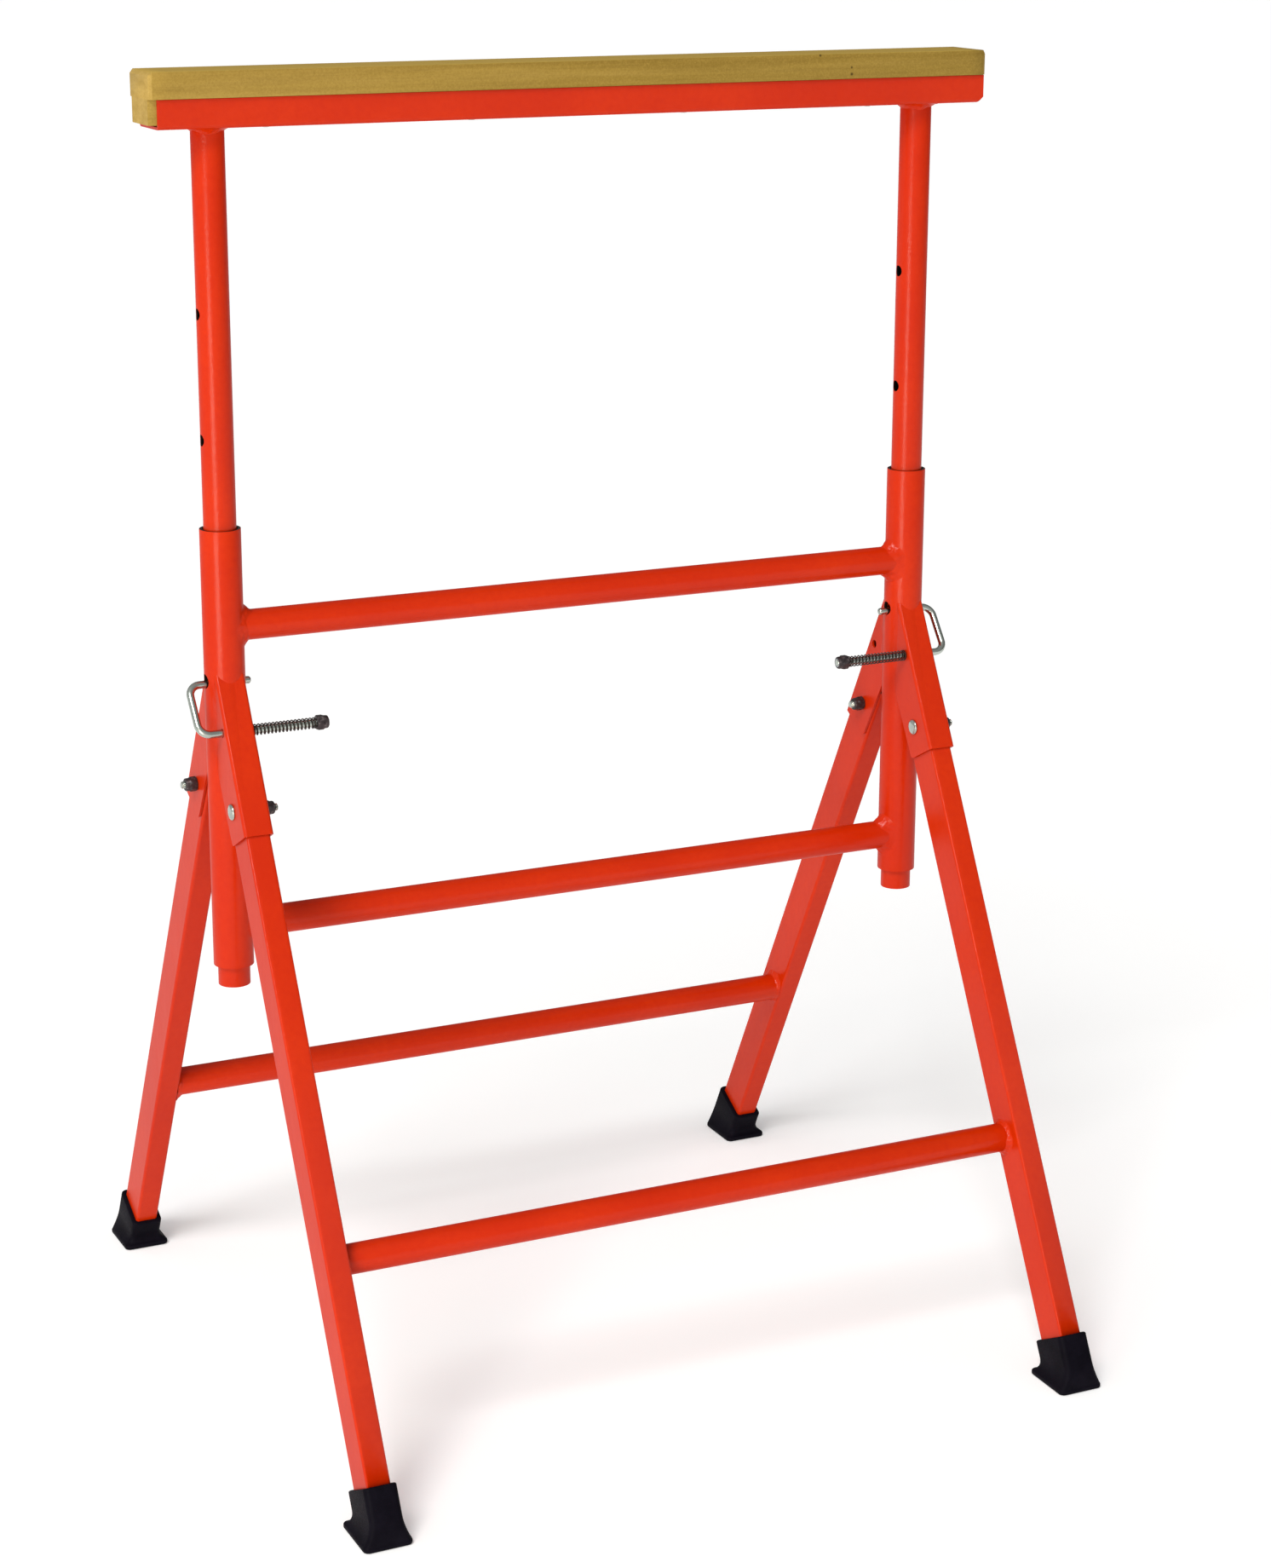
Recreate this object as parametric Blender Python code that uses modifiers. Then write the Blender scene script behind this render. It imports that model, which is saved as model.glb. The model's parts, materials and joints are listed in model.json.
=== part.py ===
"""Folding sawhorse: a height-adjustable steel trestle with a timber-topped beam.

Two outer tubes and two rails make the standing frame. Folded sockets on it carry two
splayed leg frames, which swing in until they hang parallel to the tubes. The top frame,
two drilled inner tubes under a beam, slides in the outer tubes and is held by two
spring-loaded U-shaped locking pins.

Metres, +Z up. X runs along the beam, the front is -Y, and the floor is z = 0.
"""

import math

import bmesh
import bpy
from mathutils import Matrix, Vector

# ---- driving dimensions ------------------------------------------------------------

LEFT, RIGHT = -1, 1
FRONT, REAR = -1, 1
SIDE_NAME = {LEFT: "left", RIGHT: "right"}
END_NAME = {FRONT: "front", REAR: "rear"}

GAP = 0.0003                    # air between pieces that touch
OVERRUN = 0.01                  # cutters run this far past what they cut

TUBE_X = 0.4005                 # outer and inner tube centres, either side of the middle
OUTER_R = 0.0212
OUTER_WALL = 0.0032
OUTER_BOTTOM = 0.473
OUTER_TOP = 0.939
INNER_R = 0.01685
INNER_WALL = 0.0018
INNER_BOTTOM = 0.451

RAIL_R = 0.01575                # round rails of the standing frame and of the legs
RAIL_WALL = 0.002
UPPER_RAIL_Z = 0.836
LOWER_RAIL_Z = 0.515

PIN_Z = 0.7777                  # upper prongs of the locking pins, through the tubes
HOLE_PITCH = 0.1265             # height setting to height setting
HOLES_ABOVE = 3
HOLES_BELOW = 2
INNER_HOLE_R = 0.006
INNER_HOLE_RISE = {LEFT: -0.0009, RIGHT: 0.0015}    # a setting's height over the prong's
OUTER_HOLE_R = 0.0075
OUTER_HOLE_RISE = 0.0032        # so that a prong lies at the bottom of its hole

SPLAY = math.radians(28.0)      # each leg's angle from the vertical
PIVOT_Y = 0.0585                # the legs' pivot bolts, front and rear
PIVOT_Z = 0.656

LEG_WIDTH = 0.0255              # rectangular tube, along X
LEG_DEPTH = 0.046
LEG_WALL = 0.002
LEG_CORNER = 0.003
LEG_LENGTH = PIVOT_Z / math.cos(SPLAY)      # pivot to the floor, along the leg
LEG_END = 0.019                 # the tube stops this far above the floor, along the leg
LEG_TOP = 0.033                 # its top above the pivot, at the inner face
LEG_RAIL_DROP = 0.4665          # leg rail below the pivot, along the leg
LEG_RAIL_INSET = 0.007          # leg rail behind the leg's centre line

SHEET = 0.0025                  # folded sheet of the leg sockets
SOCKET_WIDTH = 0.0315
SOCKET_BEND = 0.0035
LEG_PLAY = 0.0005               # air between the leg and the socket's web
SOCKET_FACE = LEG_DEPTH / 2 + LEG_PLAY + SHEET    # web's outer face from the leg's centre
SOCKET_BELOW = 0.032            # web below the pivot
SOCKET_ABOVE = 0.138            # web above the pivot
SOCKET_DEPTH = 0.024            # flanges' deepest reach inward of the leg's centre line
SOCKET_DEEPEST = 0.059          # where that is, above the pivot
SOCKET_TAPER = 0.004            # how much shallower the flanges are at the bottom
SOCKET_TOP_DEPTH = -0.020       # flanges at the top, from the leg's centre line

BOLT_R = 0.004
BOLT_HOLE_R = 0.0043
BOLT_HEAD_R = 0.0085
BOLT_HEAD_HEIGHT = 0.0036
BOLT_HEAD_RIM = 0.0009          # straight rim below the dome
BOLT_CHAMFER = 0.0006
BOLT_TIP = 0.0035               # bolt beyond its nut
NUT_FLATS = 0.0141
NUT_HEIGHT = 0.0085             # hexagon of a locking nut
NUT_COLLAR = 0.0045             # round collar that holds the nylon ring
NUT_COLLAR_R = 0.0069
NUT_ROUNDING = 0.0015

PIN_R = 0.004
PIN_HOLE_R = 0.0046
PRONG_Y = 0.0345                # lower prong, in the front sockets
PRONG_Z = 0.7335
REAR_HOLE_DROP = 0.002          # the rear socket's spare hole is this much lower
PIN_BEND = 0.012                # centre line radius of the U's corners
PIN_REACH = 0.0395              # centre of the U's back from the tube's centre
PIN_TIP = 0.0280                # end of the upper prong past the tube's centre
PIN_THREAD = 0.0003             # lower prong beyond its nut
PIN_INWARD = {LEFT: 0.0, RIGHT: 0.0037}     # the right pin rests further in
SPRING_LENGTH = 0.0695          # with its pin at no inward offset
SPRING_TURNS = 18
SPRING_R = 0.0054
SPRING_WIRE_R = 0.0007

BEAM_BOTTOM = 1.3395
BEAM_TOP = 1.395
CHANNEL_WIDTH = 0.060
CHANNEL_HEIGHT = 0.029
CHANNEL_SHEET = 0.003
CHANNEL_BEND = 0.004
LEAST_BEND = 0.0005             # least radius inside a fold
CHANNEL_LEFT = -0.4595
CHANNEL_RIGHT = 0.467
CHANNEL_SNIP = 0.006            # lower corners cut off at the right-hand end
TIMBER_LENGTH = 0.936
TIMBER_WIDTH = 0.065
TIMBER_CHAMFER = 0.004
SCREW_X = (-0.34, -0.12, 0.12, 0.34)
SCREW_SHANK_R = 0.0024
SCREW_HEAD_R = 0.0048
SCREW_HEAD_HEIGHT = 0.0022
SCREW_CROWN = 0.7               # flat of a screw's head over the head itself
SCREW_DEPTH = 0.034
SCREW_POINT = 0.006

FOOT_HALF_X = 0.026             # pad on the floor
FOOT_HALF_Y = 0.0325
FOOT_SHIFT = -0.0113            # pad centre from where the leg's centre line meets the floor
FOOT_PAD = 0.005
FOOT_WALL = 0.005               # rubber round the leg
FOOT_TOP = 0.053                # top of the rubber, along the leg
FOOT_FLARE = 0.028              # where the flare ends, along the leg
FOOT_FLARE_TILT = 0.27          # how much lower it ends on the outer side
FOOT_KNEE = 0.014               # height above the floor where the flare aims
FOOT_KNEE_TILT = 0.22           # how much higher it aims on the outer side
FOOT_CORNER = 0.006

ROUND = 32                      # sides of the upright tubes
RAIL_ROUND = 24                 # sides of the rails
SMALL_ROUND = 16                # sides of bolts and small holes
SPRING_ROUND = 8                # points to a turn of a spring
CORNER_STEPS = 3                # to a folded or rounded corner
ELBOW_STEPS = 6                 # to a bend of a locking pin
DOME_STEPS = 4                  # to a bolt's head, from its rim to its crown
FLARE_STEPS = 5                 # to the flare of a foot
PIN_RESOLUTION = 4              # bevel resolution of a locking pin's round section

SHARP_ANGLE = 35                # edges that turn further than this stay sharp, in degrees
FOOT_SHARP_ANGLE = 40
SPRING_SHARP_ANGLE = 60

PAINT = (0.78, 0.055, 0.012, 1.0)
ZINC = (0.62, 0.63, 0.58, 1.0)
DARK_STEEL = (0.045, 0.035, 0.035, 1.0)
TIMBER = (0.50, 0.36, 0.10, 1.0)
RUBBER = (0.012, 0.012, 0.018, 1.0)


# ---- scene and object helpers ------------------------------------------------------

for old in list(bpy.data.objects):
    bpy.data.objects.remove(old, do_unlink=True)

parts = bpy.data.collections.new("folding_sawhorse")
cutters = bpy.data.collections.new("cutters")
bpy.context.scene.collection.children.link(parts)
bpy.context.scene.collection.children.link(cutters)


def material(name, colour, roughness, metallic):
    made = bpy.data.materials.new(name)
    made.use_nodes = True
    shader = made.node_tree.nodes["Principled BSDF"]
    shader.inputs["Base Color"].default_value = colour
    shader.inputs["Roughness"].default_value = roughness
    shader.inputs["Metallic"].default_value = metallic
    return made


def finish(obj, name, look, parent=None):
    """Name a piece, give it its own material, and file it with the parts."""
    obj.name = name
    obj.data.name = name
    obj.data.materials.clear()
    obj.data.materials.append(material(name, *look))
    obj.parent = parent
    for held in list(obj.users_collection):
        held.objects.unlink(obj)
    parts.objects.link(obj)
    return obj


def as_cutter(obj, parent=None):
    obj.parent = parent
    obj.hide_render = True
    obj.display_type = "WIRE"
    for held in list(obj.users_collection):
        held.objects.unlink(obj)
    cutters.objects.link(obj)
    return obj


def boolean(obj, cutter, operation="DIFFERENCE"):
    cut = obj.modifiers.new(cutter.name, "BOOLEAN")
    cut.object = cutter
    cut.operation = operation
    cut.solver = "EXACT"


def smooth(obj, degrees=SHARP_ANGLE):
    obj.data.shade_smooth()
    obj.data.set_sharp_from_angle(angle=math.radians(degrees))


def turned(name, profile, steps):
    """A solid turned round Z from (radius, height) points that run down its outer side.

    A first and last point on the axis close a solid; a ring's profile is a closed loop.
    """
    ring = all(radius > 0 for radius, _ in profile)
    mesh = bpy.data.meshes.new(name)
    points = [(radius, 0, height) for radius, height in profile]
    edges = [(i, i + 1) for i in range(len(points) - 1)]
    if ring:
        edges.append((len(points) - 1, 0))
    mesh.from_pydata(points, edges, [])
    obj = bpy.data.objects.new(name, mesh)
    bpy.context.scene.collection.objects.link(obj)
    screw = obj.modifiers.new("turn", "SCREW")
    screw.axis = "Z"
    screw.angle = 2 * math.pi
    screw.steps = screw.render_steps = steps
    screw.use_merge_vertices = True
    screw.merge_threshold = 0.00001
    screw.use_smooth_shade = False
    return as_mesh(obj)


def pipe(name, radius, wall, low, high, steps=ROUND):
    """A straight open tube round Z."""
    inner = radius - wall
    return turned(name, [(radius, high), (radius, low), (inner, low), (inner, high)], steps)


def rod(name, radius, low, high, steps=SMALL_ROUND):
    return turned(name, [(0, high), (radius, high), (radius, low), (0, low)], steps)


def arc(centre, radius, start, end, count):
    """Points on an arc, angles in degrees."""
    angles = [math.radians(start + (end - start) * i / count) for i in range(count + 1)]
    return [(centre[0] + radius * math.cos(a), centre[1] + radius * math.sin(a)) for a in angles]


def rounded_rectangle(half_x, half_y, corner):
    outline = []
    for turn, (sx, sy) in enumerate(((1, 1), (-1, 1), (-1, -1), (1, -1))):
        centre = (sx * (half_x - corner), sy * (half_y - corner))
        outline += arc(centre, corner, 90 * turn, 90 * turn + 90, CORNER_STEPS)
    return outline


def prism(name, outlines, low, high):
    """Flat outlines in XY, the later ones holes in the first, extruded from low to high."""
    curve = bpy.data.curves.new(name, "CURVE")
    curve.dimensions = "2D"
    curve.fill_mode = "BOTH"
    curve.extrude = (high - low) / 2
    for outline in outlines:
        spline = curve.splines.new("POLY")
        spline.points.add(len(outline) - 1)
        for point, (x, y) in zip(spline.points, outline):
            point.co = (x, y, 0, 1)
        spline.use_cyclic_u = True
    obj = bpy.data.objects.new(name, curve)
    bpy.context.scene.collection.objects.link(obj)
    obj.location.z = (high + low) / 2
    return as_mesh(obj)


def as_mesh(obj):
    """A curve or a modified mesh as a plain mesh object, its transform applied."""
    bpy.context.view_layer.update()
    evaluated = obj.evaluated_get(bpy.context.evaluated_depsgraph_get())
    mesh = bpy.data.meshes.new_from_object(evaluated)
    mesh.transform(obj.matrix_world)
    made = bpy.data.objects.new(obj.name + "_mesh", mesh)
    bpy.context.scene.collection.objects.link(made)
    bpy.data.objects.remove(obj, do_unlink=True)
    shape = bmesh.new()
    shape.from_mesh(mesh)
    bmesh.ops.remove_doubles(shape, verts=shape.verts, dist=0.000001)
    bmesh.ops.recalc_face_normals(shape, faces=shape.faces)
    shape.to_mesh(mesh)
    shape.free()
    return made


def bent_rod(name, path, radius, resolution):
    """A round rod along a path of points."""
    curve = bpy.data.curves.new(name, "CURVE")
    curve.dimensions = "3D"
    curve.bevel_depth = radius
    curve.bevel_resolution = resolution
    curve.use_fill_caps = True
    spline = curve.splines.new("POLY")
    spline.points.add(len(path) - 1)
    for point, place in zip(spline.points, path):
        point.co = (*place, 1)
    obj = bpy.data.objects.new(name, curve)
    bpy.context.scene.collection.objects.link(obj)
    return as_mesh(obj)


def turn_mesh(obj, matrix):
    obj.data.transform(matrix)
    return obj


ALONG_X = Matrix.Rotation(math.pi / 2, 4, "Y")      # a Z axis laid along +X
UPRIGHT = Matrix.Rotation(math.pi / 2, 4, "X")      # an XY outline stood up in XZ
STAND_ALONG_X = Matrix.Rotation(math.pi / 2, 4, "Z") @ UPRIGHT     # and then laid in YZ


def empty(name, location, rotation=(0, 0, 0)):
    obj = bpy.data.objects.new(name, None)
    obj.location = location
    obj.rotation_euler = rotation
    obj.empty_display_size = 0.05
    parts.objects.link(obj)
    return obj


# In a leg frame's own axes Z runs up the leg, -Y faces outward and the pivot is the origin.
# The rear frame is the front one turned half round.
def leg_axes(name, end):
    turn = 0 if end == FRONT else math.pi
    return empty(name, (0, end * PIVOT_Y, PIVOT_Z), (-SPLAY, 0, turn))


def own_x(side, end):
    """A side's tube centre in its leg frame's own axes."""
    return side * TUBE_X * (1 if end == FRONT else -1)


STEEL_PAINT = (PAINT, 0.32, 0.0)
ZINC_PLATE = (ZINC, 0.30, 1.0)
BLACK_NUT = (DARK_STEEL, 0.45, 0.6)
WOOD = (TIMBER, 0.75, 0.0)
BLACK_RUBBER = (RUBBER, 0.62, 0.0)


# ---- shared cutters ----------------------------------------------------------------

def cross_cutter(name, y, z, radius):
    """A drill along X, right through the trestle."""
    reach = TUBE_X + OUTER_R + OVERRUN
    cutter = turn_mesh(rod(name, radius, -reach, reach), ALONG_X)
    cutter.location = (0, y, z)
    return as_cutter(cutter)


def tube_cutter(side):
    cutter = rod("cope_" + SIDE_NAME[side], OUTER_R + GAP,
                 OUTER_BOTTOM - OVERRUN, OUTER_TOP + OVERRUN, ROUND)
    cutter.location = (side * TUBE_X, 0, 0)
    return as_cutter(cutter)


copes = {side: tube_cutter(side) for side in (LEFT, RIGHT)}
bolt_drills = {
    end: cross_cutter("bolt_drill_" + END_NAME[end], end * PIVOT_Y, PIVOT_Z, BOLT_HOLE_R)
    for end in (FRONT, REAR)
}
prong_drills = {
    FRONT: cross_cutter("prong_drill_front", -PRONG_Y, PRONG_Z, PIN_HOLE_R),
    REAR: cross_cutter("prong_drill_rear", PRONG_Y, PRONG_Z - REAR_HOLE_DROP, PIN_HOLE_R),
}
guide_drill = cross_cutter("guide_drill", 0, PIN_Z + OUTER_HOLE_RISE, OUTER_HOLE_R)


# ---- standing frame ----------------------------------------------------------------

def outer_tube(side):
    tube = pipe("outer_tube", OUTER_R, OUTER_WALL, OUTER_BOTTOM, OUTER_TOP)
    tube.location = (side * TUBE_X, 0, 0)
    boolean(tube, guide_drill)
    smooth(tube)
    return finish(tube, "outer_tube_" + SIDE_NAME[side], STEEL_PAINT)


def frame_rail(name, z):
    rail = turn_mesh(pipe(name, RAIL_R, RAIL_WALL, -TUBE_X, TUBE_X, RAIL_ROUND), ALONG_X)
    rail.location = (0, 0, z)
    for side in (LEFT, RIGHT):
        boolean(rail, copes[side])
    smooth(rail)
    return finish(rail, name, STEEL_PAINT)


def channel_outline(half_width, depth, sheet, bend):
    """A U's outline: web along Y = 0, flanges towards +Y."""
    inner = max(bend - sheet, LEAST_BEND)
    outer_left = arc((-half_width + bend, bend), bend, 180, 270, CORNER_STEPS)
    outer_right = arc((half_width - bend, bend), bend, 270, 360, CORNER_STEPS)
    inner_x = half_width - sheet
    inner_right = arc((inner_x - inner, sheet + inner), inner, 360, 270, CORNER_STEPS)
    inner_left = arc((-inner_x + inner, sheet + inner), inner, 270, 180, CORNER_STEPS)
    return (
        [(-half_width, depth)] + outer_left + outer_right + [(half_width, depth)]
        + [(inner_x, depth)] + inner_right + inner_left + [(-inner_x, depth)]
    )


def socket_side_outline():
    """The folded socket seen from the side, as (distance inward, height along the leg)."""
    outside = -SOCKET_FACE - OVERRUN
    return [
        (outside, -SOCKET_BELOW),
        (SOCKET_DEPTH - SOCKET_TAPER, -SOCKET_BELOW),
        (SOCKET_DEPTH, SOCKET_DEEPEST),
        (SOCKET_TOP_DEPTH, SOCKET_ABOVE),
        (outside, SOCKET_ABOVE),
    ]


def leg_socket(side, end, axes):
    """A folded channel, coped to the outer tube, with holes for its bolt and a pin.

    The left rear one has no hole for a pin.
    """
    label = END_NAME[end] + "_" + SIDE_NAME[side]
    depth = SOCKET_FACE + SOCKET_DEPTH + OVERRUN
    outline = channel_outline(SOCKET_WIDTH / 2, depth, SHEET, SOCKET_BEND)
    socket = prism("socket", [outline], -SOCKET_BELOW - OVERRUN, SOCKET_ABOVE + OVERRUN)
    turn_mesh(socket, Matrix.Translation((0, -SOCKET_FACE, 0)))
    socket.location = (own_x(side, end), 0, 0)
    trim = prism("socket_trim_" + label, [socket_side_outline()], -SOCKET_WIDTH, SOCKET_WIDTH)
    turn_mesh(trim, STAND_ALONG_X)
    trim.location = socket.location
    as_cutter(trim, axes)
    boolean(socket, trim, "INTERSECT")
    boolean(socket, copes[side])
    boolean(socket, bolt_drills[end])
    if (side, end) != (LEFT, REAR):
        boolean(socket, prong_drills[end])
    smooth(socket)
    return finish(socket, "leg_socket_" + label, STEEL_PAINT, axes)


def nut_outline():
    corner = NUT_FLATS / math.sqrt(3)
    return [(corner * math.cos(math.radians(60 * i)), corner * math.sin(math.radians(60 * i)))
            for i in range(6)]


def lock_nut(name, parent, place, direction):
    """A hexagon with the round collar of a nylon ring, bored for its bolt, along local X.

    direction is the way that the collar faces.
    """
    nut = prism("nut", [nut_outline()], 0, NUT_HEIGHT)
    top = NUT_HEIGHT + NUT_COLLAR
    root = NUT_HEIGHT - NUT_ROUNDING
    profile = [(0, top), (NUT_COLLAR_R - NUT_ROUNDING, top),
               (NUT_COLLAR_R, top - NUT_ROUNDING), (NUT_COLLAR_R, root), (0, root)]
    collar = turned("collar_" + name, profile, SMALL_ROUND)
    bore = rod("bore_" + name, BOLT_HOLE_R, -OVERRUN, top + OVERRUN)
    lay = Matrix.Rotation(direction * math.pi / 2, 4, "Y")
    for obj in (nut, collar, bore):
        turn_mesh(obj, lay)
        obj.location = place
    as_cutter(collar, parent)
    as_cutter(bore, parent)
    boolean(nut, collar, "UNION")
    boolean(nut, bore)
    smooth(nut)
    return finish(nut, name, BLACK_NUT, parent)


def pivot_bolt(side, end, axes):
    """A domed bolt along local X: head on local -X, nut on local +X."""
    label = END_NAME[end] + "_" + SIDE_NAME[side]
    seat = SOCKET_WIDTH / 2 + GAP
    tip = seat + NUT_HEIGHT + NUT_COLLAR + BOLT_TIP
    dome = [(BOLT_HEAD_R * math.sin(a),
             -seat - BOLT_HEAD_RIM - (BOLT_HEAD_HEIGHT - BOLT_HEAD_RIM) * math.cos(a))
            for a in (math.pi / 2 * (1 - i / DOME_STEPS) for i in range(DOME_STEPS))]
    profile = [(0, tip), (BOLT_R - BOLT_CHAMFER, tip), (BOLT_R, tip - BOLT_CHAMFER),
               (BOLT_R, -seat), (BOLT_HEAD_R, -seat)]
    profile += dome + [(0, -seat - BOLT_HEAD_HEIGHT)]
    bolt = turn_mesh(turned("bolt", profile, SMALL_ROUND), ALONG_X)
    bolt.location = (own_x(side, end), 0, 0)
    smooth(bolt)
    finish(bolt, "pivot_bolt_" + label, ZINC_PLATE, axes)
    lock_nut("pivot_nut_" + label, axes, (own_x(side, end) + seat, 0, 0), 1)


# ---- leg frames --------------------------------------------------------------------

def leg(side, end, axes):
    """Rectangular tube, its top rounded off outward so that it turns in its socket."""
    label = END_NAME[end] + "_" + SIDE_NAME[side]
    half_x, half_y = LEG_WIDTH / 2, LEG_DEPTH / 2
    outer = rounded_rectangle(half_x, half_y, LEG_CORNER)
    inner = rounded_rectangle(half_x - LEG_WALL, half_y - LEG_WALL, LEG_CORNER - LEG_WALL)
    low = LEG_END - LEG_LENGTH
    tube = prism("leg", [outer, inner], low, LEG_TOP + OVERRUN)
    tube.location = (own_x(side, end), 0, 0)
    bottom, wide = low - OVERRUN, half_y + OVERRUN
    outline = [(wide, LEG_TOP), (half_y, LEG_TOP)]
    outline += arc((0, 0), half_y, 90, 180, SMALL_ROUND // 2)
    outline += [(-wide, 0), (-wide, bottom), (wide, bottom)]
    trim = prism("leg_trim_" + label, [outline], -LEG_WIDTH, LEG_WIDTH)
    turn_mesh(trim, STAND_ALONG_X)
    trim.location = tube.location
    as_cutter(trim, axes)
    boolean(tube, trim, "INTERSECT")
    boolean(tube, bolt_drills[end])
    smooth(tube)
    return finish(tube, "leg_" + label, STEEL_PAINT, axes)


def leg_rail(end, axes):
    reach = TUBE_X - LEG_WIDTH / 2 - GAP
    rail = turn_mesh(pipe("leg_rail", RAIL_R, RAIL_WALL, -reach, reach, RAIL_ROUND), ALONG_X)
    rail.location = (0, LEG_RAIL_INSET, -LEG_RAIL_DROP)
    smooth(rail)
    return finish(rail, "leg_rail_" + END_NAME[end], STEEL_PAINT, axes)


def from_floor(out, up):
    """Leg-frame (v outward, s up the leg) of a point given from where the leg meets the floor."""
    return (out * math.cos(SPLAY) + up * math.sin(SPLAY),
            up * math.cos(SPLAY) - out * math.sin(SPLAY))


def foot_rings():
    """Cross sections of a rubber foot from the floor up, as lists of (x, v, s)."""
    pad = rounded_rectangle(FOOT_HALF_X, FOOT_HALF_Y, FOOT_CORNER)
    neck = rounded_rectangle(LEG_WIDTH / 2 + FOOT_WALL, LEG_DEPTH / 2 + FOOT_WALL, FOOT_CORNER)
    rings = []
    for height in (0, FOOT_PAD):
        rings.append([(x, *from_floor(FOOT_SHIFT + y, height)) for x, y in pad])
    for step in range(1, FLARE_STEPS + 1):
        t = step / FLARE_STEPS
        ring = []
        for (px, pv, ps), (nx, nv) in zip(rings[1], neck):
            flare_end = FOOT_FLARE - FOOT_FLARE_TILT * nv
            knee = ((FOOT_KNEE + FOOT_KNEE_TILT * nv - nv * math.sin(SPLAY))
                    / math.cos(SPLAY))
            a, b, c = (1 - t) ** 2, 2 * t * (1 - t), t ** 2
            ring.append((a * px + (b + c) * nx, a * pv + (b + c) * nv,
                         a * ps + b * knee + c * flare_end))
        rings.append(ring)
    rings.append([(x, v, FOOT_TOP) for x, v in neck])
    return rings


def foot(side, end, axes):
    """A rubber boot: a flat pad that flares up into a socket round the leg's end."""
    label = END_NAME[end] + "_" + SIDE_NAME[side]
    shape = bmesh.new()
    rings = [[shape.verts.new((x, -v, s - LEG_LENGTH)) for x, v, s in ring]
             for ring in foot_rings()]
    for lower, upper in zip(rings, rings[1:]):
        for i in range(len(lower)):
            j = (i + 1) % len(lower)
            shape.faces.new((lower[i], lower[j], upper[j], upper[i]))
    shape.faces.new(rings[0])
    shape.faces.new(rings[-1])
    bmesh.ops.recalc_face_normals(shape, faces=shape.faces)
    mesh = bpy.data.meshes.new("foot")
    shape.to_mesh(mesh)
    shape.free()
    boot = bpy.data.objects.new("foot", mesh)
    bpy.context.scene.collection.objects.link(boot)
    boot.location = (own_x(side, end), 0, 0)
    hollow = rounded_rectangle(LEG_WIDTH / 2 + GAP, LEG_DEPTH / 2 + GAP, LEG_CORNER)
    pocket = prism("pocket_" + label, [hollow], LEG_END - LEG_LENGTH - GAP,
                   FOOT_TOP - LEG_LENGTH + OVERRUN)
    pocket.location = boot.location
    as_cutter(pocket, axes)
    boolean(boot, pocket)
    smooth(boot, FOOT_SHARP_ANGLE)
    return finish(boot, "foot_" + label, BLACK_RUBBER, axes)


# ---- top frame ---------------------------------------------------------------------

def inner_tube(side, slide):
    tube = pipe("inner_tube", INNER_R, INNER_WALL, INNER_BOTTOM - PIN_Z,
                BEAM_BOTTOM - GAP - PIN_Z)
    tube.location = (side * TUBE_X, 0, 0)
    for step in range(-HOLES_BELOW, HOLES_ABOVE + 1):
        name = "setting_%s_%d" % (SIDE_NAME[side], step + HOLES_BELOW)
        reach = INNER_R + OVERRUN
        drill = turn_mesh(rod(name, INNER_HOLE_R, -reach, reach), ALONG_X)
        drill.location = (side * TUBE_X, 0, step * HOLE_PITCH + INNER_HOLE_RISE[side])
        as_cutter(drill, slide)
        boolean(tube, drill)
    smooth(tube)
    return finish(tube, "inner_tube_" + SIDE_NAME[side], STEEL_PAINT, slide)


def beam_channel(slide):
    """A shallow steel channel, open at the top, that the inner tubes are welded to."""
    outline = channel_outline(CHANNEL_WIDTH / 2, CHANNEL_HEIGHT, CHANNEL_SHEET, CHANNEL_BEND)
    channel = prism("channel", [outline], CHANNEL_LEFT, CHANNEL_RIGHT)
    turn_mesh(channel, STAND_ALONG_X)
    channel.location = (0, 0, BEAM_BOTTOM - PIN_Z)
    corner = [(-CHANNEL_SNIP - OVERRUN, -OVERRUN), (OVERRUN, -OVERRUN),
              (OVERRUN, CHANNEL_SNIP + OVERRUN)]
    snip = prism("snip", [corner], -CHANNEL_WIDTH, CHANNEL_WIDTH)
    turn_mesh(snip, UPRIGHT)
    snip.location = (CHANNEL_RIGHT, 0, BEAM_BOTTOM - PIN_Z)
    as_cutter(snip, slide)
    boolean(channel, snip)
    for number, x in enumerate(SCREW_X, 1):
        drill = rod("channel_drill_%d" % number, SCREW_SHANK_R + GAP, -OVERRUN, OVERRUN)
        drill.location = (x, 0, BEAM_BOTTOM - PIN_Z)
        as_cutter(drill, slide)
        boolean(channel, drill)
    smooth(channel)
    return finish(channel, "beam_channel", STEEL_PAINT, slide)


def block(name, size, centre):
    """A box of this size round this centre."""
    mesh = bpy.data.meshes.new(name)
    shape = bmesh.new()
    bmesh.ops.create_cube(shape, size=1.0)
    bmesh.ops.scale(shape, vec=size, verts=shape.verts)
    bmesh.ops.translate(shape, vec=centre, verts=shape.verts)
    shape.to_mesh(mesh)
    shape.free()
    obj = bpy.data.objects.new(name, mesh)
    bpy.context.scene.collection.objects.link(obj)
    return obj


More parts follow.
